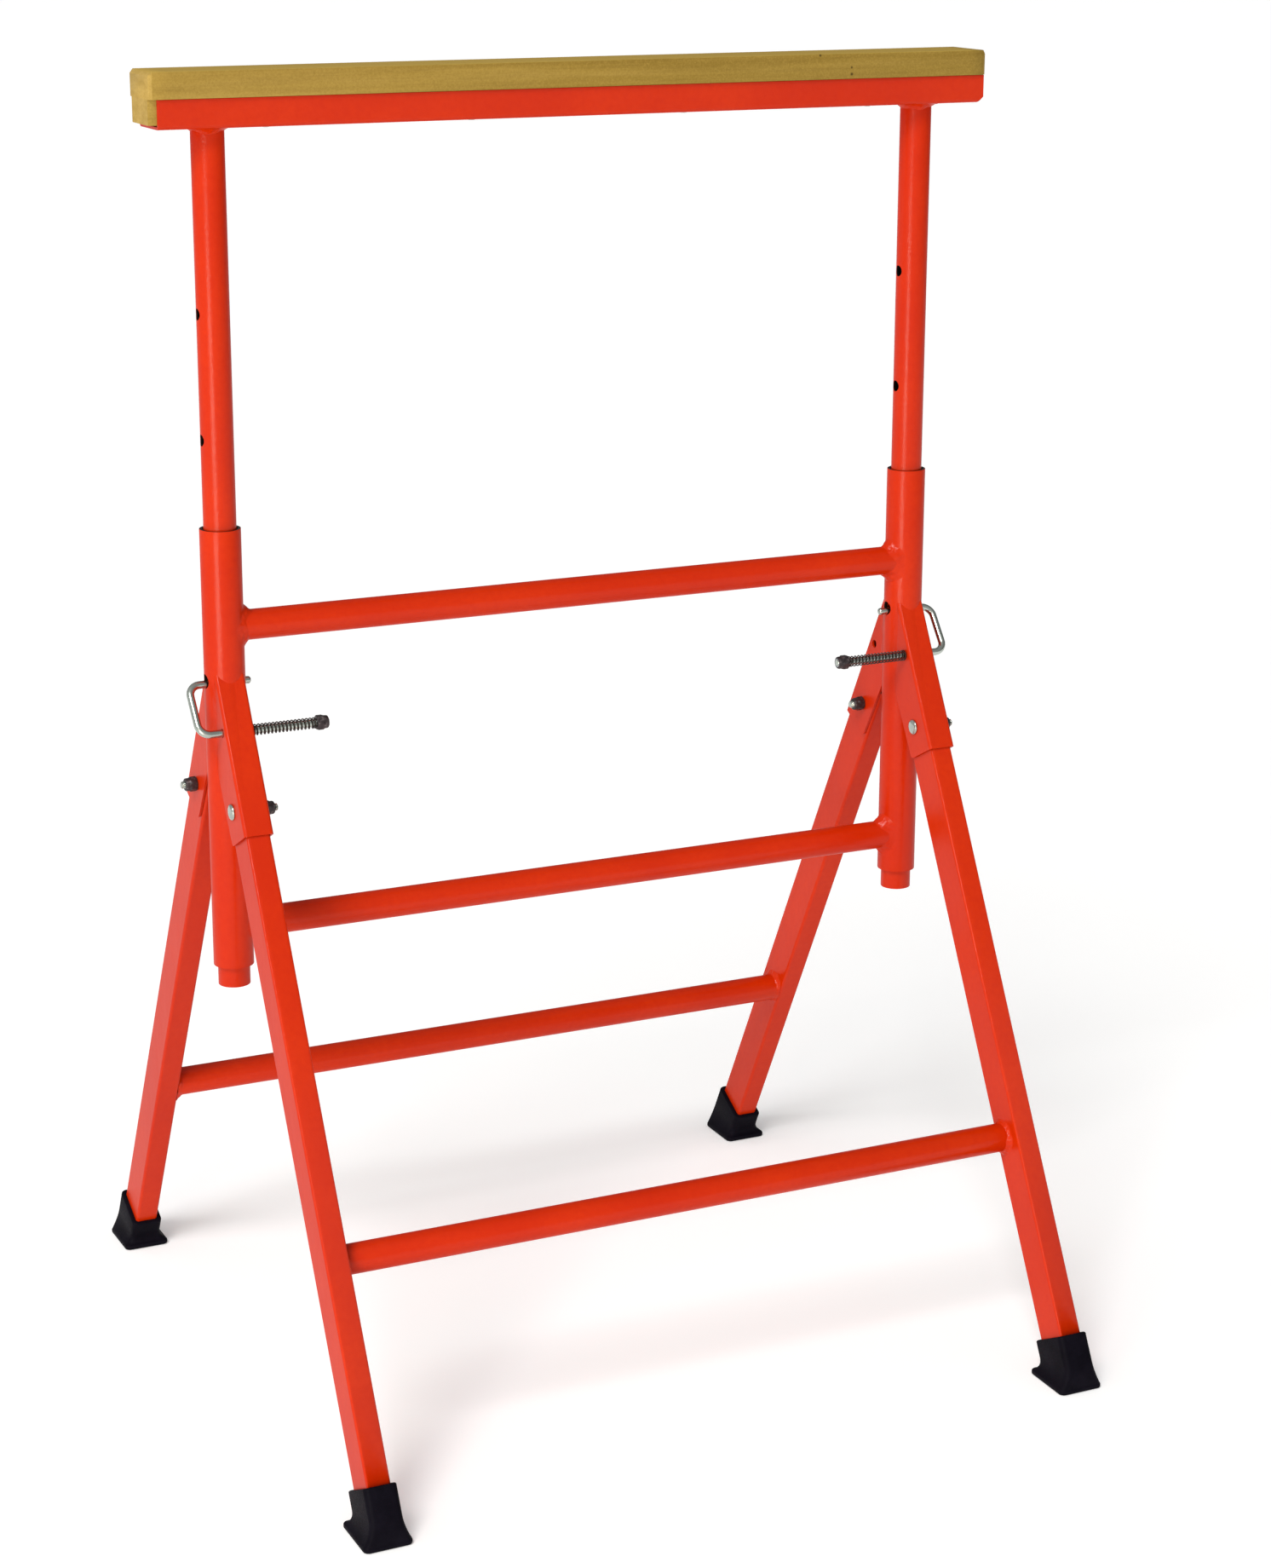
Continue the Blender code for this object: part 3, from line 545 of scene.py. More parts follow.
def loft(name, rings, closed=False, capped=True, place=None):
    """A skin over rings of points; closed joins the last ring to the first."""
    shape = bmesh.new()
    rows = [[shape.verts.new(point) for point in ring] for ring in rings]
    pairs = list(zip(rows, rows[1:]))
    if closed:
        pairs.append((rows[-1], rows[0]))
    for a, b in pairs:
        count = max(len(a), len(b))
        for i in range(count):
            j = (i + 1) % count
            if len(a) == 1:
                shape.faces.new((a[0], b[i], b[j]))
            elif len(b) == 1:
                shape.faces.new((a[i], a[j], b[0]))
            else:
                shape.faces.new((a[i], a[j], b[j], b[i]))
    if capped and not closed:
        for ring in (rows[0], rows[-1]):
            if len(ring) > 2:
                shape.faces.new(ring)
    return as_object(name, shape, place)


def full_turn(steps):
    """Angles evenly round a circle."""
    return [2 * math.pi * i / steps for i in range(steps)]


def polar(radius, angle, height):
    """A point round the Z axis."""
    return Vector((radius * math.cos(angle), radius * math.sin(angle), height))


def circle(radius, steps, height):
    """A ring of points round Z, or one point on the axis."""
    if radius == 0:
        return [Vector((0, 0, height))]
    return [polar(radius, a, height) for a in full_turn(steps)]


def turned(name, profile, steps, place=None):
    """A solid turned round Z. A profile that never meets the axis is a closed ring's."""
    rings = [circle(radius, steps, height) for radius, height in profile]
    ring = all(radius > 0 for radius, _ in profile)
    return loft(name, rings, closed=ring, capped=False, place=place)


def curve_between(a, corner, b, t):
    """The point at t, from 0 to 1, on the curve from a to b that corner draws out."""
    return a * (1 - t) ** 2 + corner * 2 * t * (1 - t) + b * t * t


def eased(points, reach, count, closed=True):
    """An outline with its corners rounded, each starting reach before the corner."""
    points = [Vector(p) for p in points]
    out = []
    for i, corner in enumerate(points):
        if not closed and i in (0, len(points) - 1):
            out.append(corner)
            continue
        back, on = points[i - 1] - corner, points[(i + 1) % len(points)] - corner
        a = corner + back.normalized() * min(reach, back.length / 2)
        b = corner + on.normalized() * min(reach, on.length / 2)
        out += [curve_between(a, corner, b, k / count) for k in range(count + 1)]
    return out


def pipe(name, radius, wall, low, high, steps, place=None):
    """A round tube with lightly rounded cut edges."""
    inner = radius - wall
    profile = eased([(radius, high), (radius, low), (inner, low), (inner, high)], EDGE, 2)
    return turned(name, profile, steps, place)


def rod(name, radius, low, high, steps, place=None):
    """A plain cylinder along Z."""
    return turned(name, [(0, high), (radius, high), (radius, low), (0, low)], steps, place)


def arc(centre, radius, start, end, count):
    """Points on an arc, its angles in degrees."""
    angles = [math.radians(start + (end - start) * i / count) for i in range(count + 1)]
    return [(centre[0] + radius * math.cos(a), centre[1] + radius * math.sin(a))
            for a in angles]


def rounded_rectangle(half_x, half_y, corner):
    outline = []
    for turn, (sx, sy) in enumerate(((1, 1), (-1, 1), (-1, -1), (1, -1))):
        centre = (sx * (half_x - corner), sy * (half_y - corner))
        outline += arc(centre, corner, 90 * turn, 90 * turn + 90, CORNER_STEPS)
    return outline


def prism(name, outlines, low, high, place=None):
    """Flat outlines in XY, the later ones holes in the first, extruded along Z."""
    curve = bpy.data.curves.new(name, "CURVE")
    curve.dimensions = "2D"
    curve.fill_mode = "BOTH"
    curve.extrude = (high - low) / 2
    for outline in outlines:
        spline = curve.splines.new("POLY")
        spline.points.add(len(outline) - 1)
        for point, (x, y) in zip(spline.points, outline):
            point.co = (x, y, 0, 1)
        spline.use_cyclic_u = True
    source = add_object(name, curve)
    bpy.context.view_layer.update()
    shape = bmesh.new()
    shape.from_mesh(source.to_mesh())
    bpy.data.objects.remove(source, do_unlink=True)
    bpy.data.curves.remove(curve)
    bmesh.ops.remove_doubles(shape, verts=shape.verts, dist=0.000001)
    shift = Matrix.Translation((0, 0, (high + low) / 2))
    return as_object(name, shape, (place or Matrix()) @ shift)


def bake(obj):
    """Apply every modifier, so that the mesh is what is shown."""
    bpy.context.view_layer.update()
    evaluated = obj.evaluated_get(bpy.context.evaluated_depsgraph_get())
    mesh = bpy.data.meshes.new_from_object(evaluated)
    obj.modifiers.clear()
    obj.data = mesh
    return obj


def combine(obj, others, operation="DIFFERENCE"):
    """Cut the other objects away, or keep what they share. They are used up."""
    for other in others:
        step = obj.modifiers.new("combine", "BOOLEAN")
        step.object = other
        step.operation = operation
        step.solver = "EXACT"
    bake(obj)
    for other in others:
        bpy.data.objects.remove(other, do_unlink=True)
    return obj


def round_edges(obj):
    """Merge the flat faces that a cut has split, then round the sharp edges a little."""
    shape = bmesh.new()
    shape.from_mesh(obj.data)
    bmesh.ops.dissolve_limit(shape, angle_limit=math.radians(0.5), verts=shape.verts,
                             edges=shape.edges)
    shape.to_mesh(obj.data)
    shape.free()
    bevel = obj.modifiers.new("edges", "BEVEL")
    bevel.width = EDGE
    bevel.segments = 2
    bevel.limit_method = "ANGLE"
    bevel.angle_limit = math.radians(40)
    return bake(obj)


def smooth(obj, degrees):
    """Shade smoothly across the edges that turn by less than this."""
    obj.data.shade_smooth()
    obj.data.set_sharp_from_angle(angle=math.radians(degrees))


def flat_faced(obj):
    """Shade the wide faces flat, and let the narrow ones at their edges turn the corner."""
    smooth(obj, SHARP_ANGLE)
    obj.modifiers.new("normals", "WEIGHTED_NORMAL").keep_sharp = True
    return bake(obj)


def put(obj, body, slot, look, *nodes, degrees=SHARP_ANGLE):
    """Finish a piece: shading, material, the body it rides on and what it stands for."""
    smooth(obj, degrees)
    obj.data.materials.clear()
    obj.data.materials.append(look)
    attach(obj, body)
    if nodes:
        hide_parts(*nodes)
    return obj


# Turns that lay a shape's own Z along X, -X or -Y, or along X with its Y upright.
ALONG_X = Matrix.Rotation(math.pi / 2, 4, "Y")
BACK_ALONG_X = Matrix.Rotation(-math.pi / 2, 4, "Y")
UPRIGHT = Matrix.Rotation(math.pi / 2, 4, "X")
STAND_ALONG_X = Matrix.Rotation(math.pi / 2, 4, "Z") @ UPRIGHT


def leg_frame(end):
    """From a leg frame's own axes to the world."""
    turn = Matrix.Rotation(0 if end == FRONT else math.pi, 4, "Z")
    return (Matrix.Translation((0, end * PIVOT_Y, PIVOT_Z)) @ turn
            @ Matrix.Rotation(-SPLAY, 4, "X"))


def own_x(side, end):
    """A leg's place along its frame's own X, which points left at the rear."""
    return -end * side * TUBE_X


def at(x, y, z):
    return Matrix.Translation((x, y, z))


def drill(radius, steps, place):
    """A cutter along X through place."""
    return rod("drill", radius, -CUTTER_REACH, CUTTER_REACH, steps, place @ ALONG_X)


# ---- welds ----

def weld(name, corners, along_a, along_b, size, seed, closed=True):
    """A lumpy painted fillet in the corner between two surfaces.

    along_a and along_b give the point on each surface, a distance from a corner point.
    """
    sink, bulge, points = 0.12, 0.36, 10
    rings = []
    count = len(corners)
    for i, corner in enumerate(corners):
        reach = size * (1 + LUMP * noise.noise(corner * LUMP_SCALE + Vector((seed, 0, 0))))
        lean = LEAN * noise.noise(corner * LEAN_SCALE + Vector((0, seed, 0)))
        if not closed:
            # It thins out towards its two ends.
            reach *= min(1.0, 0.35 + 4.0 * min(i, count - 1 - i) / count)
        a = along_a(i, reach * (1 + lean))
        b = along_b(i, reach * (1 - lean))
        outward = (a - corner) + (b - corner)
        ring = [corner - (a - corner) * sink - (b - corner) * sink]
        for k in range(points + 1):
            t = k / points
            face = curve_between(a, corner + outward * bulge, b, t)
            dent = noise.noise(face * DENT_SCALE + Vector((0, 0, seed))) * math.sin(math.pi * t)
            ring.append(face + outward * DENT * dent)
        rings.append(ring)
    return loft(name, rings, closed=closed)


def beam_weld(side):
    """Round an inner tube's top, under the beam."""
    centre = Vector((side * TUBE_X, 0, CHANNEL_LOW.z))
    out = circle(1, WELD_STEPS, 0)
    corners = [centre + INNER_R * d for d in out]
    return weld("beam_weld_" + SIDE_NAME[side], corners,
                lambda i, far: corners[i] + out[i] * far - Vector((0, 0, 0.0001)),
                lambda i, far: corners[i] - Vector((0, 0, 0.7 * far)), BEAM_WELD, 3.0 + side)


def rail_weld(name, side, z, seed):
    """Round the end of a frame rail, on an outer tube."""
    turns = full_turn(WELD_STEPS)

    def on_tube(y_arc, height):
        angle = y_arc / OUTER_R
        return Vector((side * (TUBE_X - OUTER_R * math.cos(angle)),
                       OUTER_R * math.sin(angle), z + height))

    base = [(OUTER_R * math.asin(RAIL_R * math.cos(t) / OUTER_R), RAIL_R * math.sin(t))
            for t in turns]
    corners = [on_tube(*b) for b in base]
    return weld(name, corners,
                lambda i, far: on_tube(base[i][0] + far * math.cos(turns[i]),
                                       base[i][1] + far * math.sin(turns[i])),
                lambda i, far: corners[i] - Vector((side * far, 0, 0)), FRAME_RAIL_WELD, seed)


def leg_rail_weld(side, end):
    """Round the end of a leg rail, on the leg's inner face, short of the face's edge."""
    own = own_x(side, end)
    toward = -1 if own > 0 else 1
    edge = LEG_DEPTH / 2 - 0.0012
    centre = Vector((own + toward * LEG_WIDTH / 2, LEG_RAIL_INSET, -LEG_RAIL_DROP))
    out = [Vector((0, math.cos(a), math.sin(a))) for a in full_turn(WELD_STEPS)]
    corners = [centre + RAIL_R * d for d in out]

    def on_leg(i, far):
        point = corners[i] + out[i] * far
        point.y = min(edge, point.y)
        return point

    bead = weld("leg_rail_weld_" + label(side, end), corners, on_leg,
                lambda i, far: corners[i] + Vector((toward * far, 0, 0)), LEG_RAIL_WELD,
                7.0 + side + 3 * end)
    bead.data.transform(leg_frame(end))
    return bead


def socket_weld(side, end, cheek):
    """Where a socket's flange meets the outer tube, along Z; cheek is the flange's side."""
    start = math.asin(SOCKET_WIDTH / 2 / OUTER_R)
    rise = SOCKET_WELD_HIGH - SOCKET_WELD_LOW

    def on_tube(angle, z):
        return Vector((side * TUBE_X + cheek * OUTER_R * math.sin(angle),
                       end * OUTER_R * math.cos(angle), z))

    heights = [SOCKET_WELD_LOW + rise * i / (STRAIGHT_WELD_STEPS - 1)
               for i in range(STRAIGHT_WELD_STEPS)]
    corners = [on_tube(start, z) for z in heights]
    name = "socket_weld_%s_%s" % (label(side, end), "outer" if cheek == side else "inner")
    return weld(name, corners, lambda i, far: on_tube(start + far / OUTER_R, heights[i]),
                lambda i, far: corners[i] + Vector((0, end * far, 0)), SOCKET_WELD,
                11.0 + side * 2 + end + cheek * 5, closed=False)


# ---- standing frame ----

def outer_tube(side):
    tube = pipe("outer_tube_%s_shell" % SIDE_NAME[side], OUTER_R, OUTER_WALL, OUTER_BOTTOM,
                OUTER_TOP, TUBE_STEPS, at(side * TUBE_X, 0, 0))
    return combine(tube, [drill(OUTER_HOLE_R, OUTER_HOLE_STEPS,
                                at(side * TUBE_X, 0, PIN_Z + OUTER_HOLE_RISE))])


def frame_rail(node):
    """A tube between the outer tubes, its ends cut to their curve."""
    z = middle(node).z
    rail = pipe(node + "_shell", RAIL_R, RAIL_WALL, -TUBE_X, TUBE_X, RAIL_STEPS,
                at(0, 0, z) @ ALONG_X)
    copes = [rod("cope", OUTER_R - RAIL_SINK, z - CUTTER_REACH, z + CUTTER_REACH, TUBE_STEPS,
                 at(side * TUBE_X, 0, 0)) for side in (LEFT, RIGHT)]
    return combine(rail, copes)


def channel_outline(half_width, depth, sheet, bend):
    """A U's outline: web along Y = 0, flanges towards +Y."""
    inner = bend - sheet
    inner_x = half_width - sheet
    return (
        [(-half_width, depth)]
        + arc((-half_width + bend, bend), bend, 180, 270, BEND_STEPS)
        + arc((half_width - bend, bend), bend, 270, 360, BEND_STEPS)
        + [(half_width, depth), (inner_x, depth)]
        + arc((inner_x - inner, sheet + inner), inner, 360, 270, BEND_STEPS)
        + arc((-inner_x + inner, sheet + inner), inner, 270, 180, BEND_STEPS)
        + [(-inner_x, depth)]
    )


def leg_socket(side, end):
    """Folded sheet, trimmed along its flanges, coped to the outer tube and drilled."""
    place = leg_frame(end) @ at(own_x(side, end), 0, 0)
    outline = channel_outline(SOCKET_WIDTH / 2, SOCKET_BLANK, SHEET, SOCKET_BEND)
    socket = prism("leg_socket_%s_shell" % label(side, end), [outline],
                   -SOCKET_BELOW - OVERRUN, SOCKET_ABOVE + OVERRUN,
                   place @ at(0, -SOCKET_FACE, 0))
    outside = -SOCKET_FACE - OVERRUN
    profile = [(outside, -SOCKET_BELOW), (SOCKET_DEPTH - SOCKET_TAPER, -SOCKET_BELOW),
               (SOCKET_DEPTH, SOCKET_DEEPEST), (SOCKET_TOP_DEPTH, SOCKET_ABOVE),
               (outside, SOCKET_ABOVE)]
    rounded = eased(profile[0:3], SOCKET_CORNER, 4, closed=False)
    profile[1:3] = [tuple(point) for point in rounded[1:]]
    trim = prism("trim", [profile], -SOCKET_WIDTH, SOCKET_WIDTH, place @ STAND_ALONG_X)
    combine(socket, [trim], "INTERSECT")
    cope = rod("cope", OUTER_R, OUTER_BOTTOM - OVERRUN, OUTER_TOP + OVERRUN, TUBE_STEPS,
               at(side * TUBE_X, 0, 0))
    drills = [drill(BOLT_HOLE_R, BOLT_STEPS, place)]
    if (side, end) != (LEFT, REAR):
        prong_z = PRONG_Z - (REAR_HOLE_DROP if end == REAR else 0)
        drills.append(drill(PIN_HOLE_R, BOLT_STEPS,
                            at(side * TUBE_X, end * PRONG_Y, prong_z)))
    combine(socket, [cope] + drills)
    return flat_faced(round_edges(socket))


def threaded(name, low, high):
    """A bolt's threaded shank along Z, its low end chamfered and its high end flat."""
    rings = [[Vector((0, 0, low))]]
    count = int((high - low) / THREAD_PITCH * 6)
    for k in range(count + 1):
        z = low + (high - low) * k / count
        taper = min(1.0, (z - low) / THREAD_POINT)
        ring = []
        for i, a in enumerate(full_turn(THREAD_STEPS)):
            phase = (z / THREAD_PITCH + i / THREAD_STEPS) % 1.0
            groove = abs(2 * phase - 1)
            r = BOLT_R - THREAD_DEPTH * groove - THREAD_NARROWING * (1 - taper)
            ring.append(polar(r, a, z))
        rings.append(ring)
    rings.append([Vector((0, 0, high))])
    return loft(name, rings, capped=False)


def hexagon(flat, cap):
    """Points round a hexagon as (radius, angle): flat from axis to side, cap at most."""
    ring = []
    for a in full_turn(NUT_STEPS):
        local = (a + math.pi / 6) % (math.pi / 3) - math.pi / 6
        ring.append((min(cap, flat / math.cos(local)), a))
    return ring


def lock_nut(name, place):
    """A hexagon with chamfered corners and a round collar, from its seat up +Z."""
    flat = NUT_FLATS / 2
    corner = flat / math.cos(math.pi / 6)
    top = NUT_HEIGHT
    full = top + NUT_COLLAR
    # Height and greatest radius: up the outside, then down the bore.
    levels = [
        (0.0, flat * 0.98), (0.0004, flat * 1.04), (0.0011, corner),
        (top - 0.0018, corner), (top - 0.0008, flat * 1.05), (top - 0.0001, flat * 0.985),
        (top + 0.0004, NUT_COLLAR_R), (full - 0.0016, NUT_COLLAR_R * 0.985),
        (full - 0.0007, NUT_COLLAR_R * 0.92), (full - 0.0001, NUT_COLLAR_R * 0.78),
        (full, NUT_COLLAR_R * 0.70), (full - 0.0005, BOLT_R * 1.10),
        (full - 0.0012, BOLT_R * 1.06), (0.0006, BOLT_R * 1.06), (0.0, BOLT_R * 1.18),
    ]
    rings = [[polar(r, a, z) for r, a in hexagon(flat, cap)] for z, cap in levels]
    return loft(name, rings, closed=True, place=place)


def domed_head(name, place):
    """A low button head with a rounded rim, its seat at z = 0, up +Z."""
    rim, dome_steps = 0.0009, 9
    profile = [(0, 0.0), (BOLT_R * 0.9, 0.0), (BOLT_HEAD_R - 0.0003, 0.0),
               (BOLT_HEAD_R, 0.0003), (BOLT_HEAD_R, rim * 0.8),
               (BOLT_HEAD_R - 0.0002, rim * 1.15)]
    for k in range(1, dome_steps):
        a = math.pi / 2 * (1 - k / dome_steps)
        profile.append((BOLT_HEAD_R * math.sin(a) * 0.985,
                        rim + (BOLT_HEAD_HEIGHT - rim) * math.cos(a)))
    profile.append((0, BOLT_HEAD_HEIGHT))
    return turned(name, profile, HEAD_STEPS, place)


def pivot_bolt(side, end):
    """A bolt's head, its shank and its nut."""
    place = leg_frame(end) @ at(own_x(side, end), 0, 0)
    seat = SOCKET_WIDTH / 2 + GAP
    tip = seat + NUT_HEIGHT + NUT_COLLAR + BOLT_TIP
    head = domed_head("pivot_bolt_head_" + label(side, end),
                      place @ at(-seat, 0, 0) @ BACK_ALONG_X)
    shank = threaded("pivot_bolt_shank_" + label(side, end), -tip, seat)
    shank.data.transform(place @ BACK_ALONG_X)
    nut = lock_nut("pivot_nut_%s_hex" % label(side, end), place @ at(seat, 0, 0) @ ALONG_X)
    return head, shank, nut


# ---- leg frames ----

def leg(side, end):
    """Rectangular tube, its top rounded off on the outer side and flat on the inner."""
    place = leg_frame(end) @ at(own_x(side, end), 0, 0)
    half_x, half_y = LEG_WIDTH / 2, LEG_DEPTH / 2
    outer = rounded_rectangle(half_x, half_y, LEG_CORNER)
    inner = rounded_rectangle(half_x - LEG_WALL, half_y - LEG_WALL, LEG_CORNER - LEG_WALL)
    low = LEG_END - LEG_LENGTH
    tube = prism("leg_%s_tube" % label(side, end), [outer, inner], low, LEG_TOP + OVERRUN,
                 place)
    wide, bottom = half_y + OVERRUN, low - OVERRUN
    outline = [(wide, LEG_TOP), (half_y, LEG_TOP)]
    outline += arc((0, 0), half_y, 90, 180, LEG_TOP_STEPS)
    outline += [(-wide, 0), (-wide, bottom), (wide, bottom)]
    trim = prism("trim", [outline], -LEG_WIDTH, LEG_WIDTH, place @ STAND_ALONG_X)
    combine(tube, [trim], "INTERSECT")
    return flat_faced(combine(tube, [drill(BOLT_HOLE_R, BOLT_STEPS, place)]))


def leg_rail(end):
    reach = TUBE_X - LEG_WIDTH / 2
    return pipe("leg_rail_%s_tube" % END_NAME[end], RAIL_R, RAIL_WALL, -reach, reach,
                RAIL_STEPS, leg_frame(end) @ at(0, LEG_RAIL_INSET, -LEG_RAIL_DROP) @ ALONG_X)


def from_floor(out, up):
    """Turn (outward, up) on the floor's axes into the same on the leg's axes."""
    return (out * math.cos(SPLAY) + up * math.sin(SPLAY),
            up * math.cos(SPLAY) - out * math.sin(SPLAY))


def foot(side, end):
    """A rubber boot: a flat pad with a rounded rim that flares up into a socket."""
    neck_x, neck_y = LEG_WIDTH / 2 + FOOT_WALL, LEG_DEPTH / 2 + FOOT_WALL
    pad = rounded_rectangle(FOOT_HALF_X, FOOT_HALF_Y, FOOT_CORNER)
    neck = rounded_rectangle(neck_x, neck_y, FOOT_CORNER)
    mouth = rounded_rectangle(LEG_WIDTH / 2 + GAP, LEG_DEPTH / 2 + GAP, LEG_CORNER)
    # The pad's rim, from the floor up: heights, and how far it is drawn in there.
    rings = []
    for height, inset in ((0.0, 0.0012), (0.0005, 0.0004), (0.0014, 0.0), (0.0040, 0.0),
                          (0.0047, 0.0003)):
        scale_x, scale_y = 1 - inset / FOOT_HALF_X, 1 - inset / FOOT_HALF_Y
        rings.append([(x * scale_x, *from_floor(FOOT_SHIFT + y * scale_y, height))
                      for x, y in pad])
    # The flare, from the pad's edge to the neck.
    edge = [(x * 0.985, *from_floor(FOOT_SHIFT + y * 0.985, FOOT_PAD)) for x, y in pad]
    steps = 14
    for k in range(steps + 1):
        t = k / steps
        ring = []
        for (px, pv, ps), (nx, nv) in zip(edge, neck):
            flare_end = FOOT_FLARE - FOOT_FLARE_TILT * nv
            knee = (FOOT_KNEE + FOOT_KNEE_TILT * nv - nv * math.sin(SPLAY)) / math.cos(SPLAY)
            a, b, c = (1 - t) ** 2, 2 * t * (1 - t), t ** 2
            ring.append((a * px + (b + c) * nx, a * pv + (b + c) * nv,
                         a * ps + b * knee + c * flare_end))
        rings.append(ring)
    # The neck's rim, and then the inside, down to the leg's end.
    for s, inset in ((FOOT_TOP - 0.0016, 0.0), (FOOT_TOP - 0.0006, 0.0004),
                     (FOOT_TOP, 0.0016)):
        rings.append([(x * (1 - inset / neck_x), v * (1 - inset / neck_y), s)
                      for x, v in neck])
    for s in (FOOT_TOP - 0.0002, FOOT_TOP - 0.0010, LEG_END):
        rings.append([(x, v, s) for x, v in mouth])
    rings = [[Vector((x, -v, s - LEG_LENGTH)) for x, v, s in ring] for ring in rings]
    return loft("foot_%s_boot" % label(side, end), rings,
                place=leg_frame(end) @ at(own_x(side, end), 0, 0))


# ---- top frame ----

def inner_tube(side):
    tube = pipe("inner_tube_%s_shell" % SIDE_NAME[side], INNER_R, INNER_WALL, INNER_BOTTOM,
                INNER_TOP, TUBE_STEPS, at(side * TUBE_X, 0, 0))
    heights = [PIN_Z + INNER_HOLE_RISE[side] + HOLE_PITCH * step
               for step in range(-HOLES_BELOW, HOLES_ABOVE + 1)]
    return combine(tube, [drill(INNER_HOLE_R, INNER_HOLE_STEPS, at(side * TUBE_X, 0, z))
                          for z in heights])


def beam_channel():
    """Folded sheet along X, the corners of its flanges cut off at the right-hand end."""
    half_width = (CHANNEL_HIGH.y - CHANNEL_LOW.y) / 2
    outline = channel_outline(half_width, CHANNEL_HIGH.z - CHANNEL_LOW.z, CHANNEL_SHEET,
                              CHANNEL_BEND)
    channel = prism("beam_channel_shell", [outline], CHANNEL_LOW.x, CHANNEL_HIGH.x,
                    at(0, 0, CHANNEL_LOW.z) @ STAND_ALONG_X)
    corner = [(-CHANNEL_SNIP - OVERRUN, -OVERRUN), (OVERRUN, -OVERRUN),
              (OVERRUN, CHANNEL_SNIP + OVERRUN)]
    snip = prism("snip", [corner], -half_width * 2, half_width * 2,
                 at(CHANNEL_HIGH.x, 0, CHANNEL_LOW.z) @ UPRIGHT)
    combine(channel, [snip])
    return flat_faced(round_edges(channel))


def timber_stations():
    """Distances along the bar, each with how far its section is drawn in there."""
    length = TIMBER_HIGH.x - TIMBER_LOW.x
    clear = length - 2 * TIMBER_CHAMFER
    steps = 60
    ends = [(x, (TIMBER_CHAMFER - x) * 0.9) for x in (0.0, 0.0013, 0.0027, TIMBER_CHAMFER)]
    return (ends + [(TIMBER_CHAMFER + clear * k / steps, 0.0) for k in range(1, steps)]
            + [(length - x, draw) for x, draw in reversed(ends)])


def timber_bar():
    """Cross sections along X, the two top arrises worn a little unevenly."""
    ledge = CHANNEL_HIGH.z + GAP
    floor = CHANNEL_LOW.z + CHANNEL_SHEET + GAP
    narrow = CHANNEL_HIGH.y - CHANNEL_SHEET - GAP
    crisp = (TIMBER_EDGE, TIMBER_EDGE / 2, TIMBER_EDGE)
    rings = []
    for x, draw in timber_stations():
        worn = [TIMBER_ARRIS * (1 + 0.55 * noise.noise(Vector((x * 14, seed, 0))))
                for seed in (9.7, 3.1)]
        reaches = (*crisp, *worn, *crisp)
        back = [(narrow - draw * 0.4, floor + 0.0012), (narrow - draw * 0.4, ledge),
                (TIMBER_HIGH.y - draw, ledge), (TIMBER_HIGH.y - draw, TIMBER_HIGH.z - draw)]
        points = [Vector(p) for p in back + [(-y, z) for y, z in reversed(back)]]
        ring = []
        for i, corner in enumerate(points):
            a = corner + (points[i - 1] - corner).normalized() * reaches[i]
            b = corner + (points[(i + 1) % len(points)] - corner).normalized() * reaches[i]
            for t in (0, 0.33, 0.67, 1):
                p = curve_between(a, corner, b, t)
                ring.append(Vector((TIMBER_LOW.x + x, p.x, p.y)))
        rings.append(ring)
    return loft("timber_bar_oak", rings)


# ---- locking pins ----

def swept(name, path, radii, steps):
    """A round bar along a path, with a radius at each point and rings that don't twist."""
    rings = []
    normal = None
    for i, point in enumerate(path):
        ahead = path[min(i + 1, len(path) - 1)] - path[max(i - 1, 0)]
        ahead.normalize()
        if normal is None:
            normal = ahead.orthogonal().normalized()
        normal = (normal - ahead * normal.dot(ahead)).normalized()
        other = ahead.cross(normal)
        rings.append([point + (normal * math.cos(a) + other * math.sin(a)) * radii[i]
                      for a in full_turn(steps)])
    return loft(name, rings)


def pin_path(side):
    """Centre line and radii, from the upper prong's blunt tip to the lower prong's end."""
    origin = Vector((side * (TUBE_X - PIN_INWARD[side]), 0, PIN_Z))
    drop = Vector((0, -PRONG_Y, PRONG_Z - PIN_Z))
    down = drop.normalized()
    out = Vector((side, 0, 0))
    end_x = SOCKET_WIDTH / 2 + SPRING_LENGTH + GAP + NUT_HEIGHT + NUT_COLLAR + PIN_THREAD
    radii = [PIN_R * math.sin(math.radians(d)) for d in (12, 34, 55, 75, 90)]
    path = [-out * PIN_TIP + out * 0.8 * (PIN_R - math.sqrt(PIN_R ** 2 - r * r))
            for r in radii]
    steps, chamfer = 16, 0.0008
    for i in range(steps + 1):
        a = math.pi / 2 * i / steps
        path.append(out * (PIN_REACH - PIN_BEND + PIN_BEND * math.sin(a))
                    + down * PIN_BEND * (1 - math.cos(a)))
    for i in range(steps + 1):
        a = math.pi / 2 * i / steps
        path.append(out * (PIN_REACH - PIN_BEND + PIN_BEND * math.cos(a))
                    + drop + down * PIN_BEND * (math.sin(a) - 1))
    path += [drop - out * (end_x - chamfer), drop - out * end_x]
    radii += [PIN_R] * (2 * steps + 2) + [PIN_R, PIN_R * 0.82]
    return [origin + p for p in path], radii


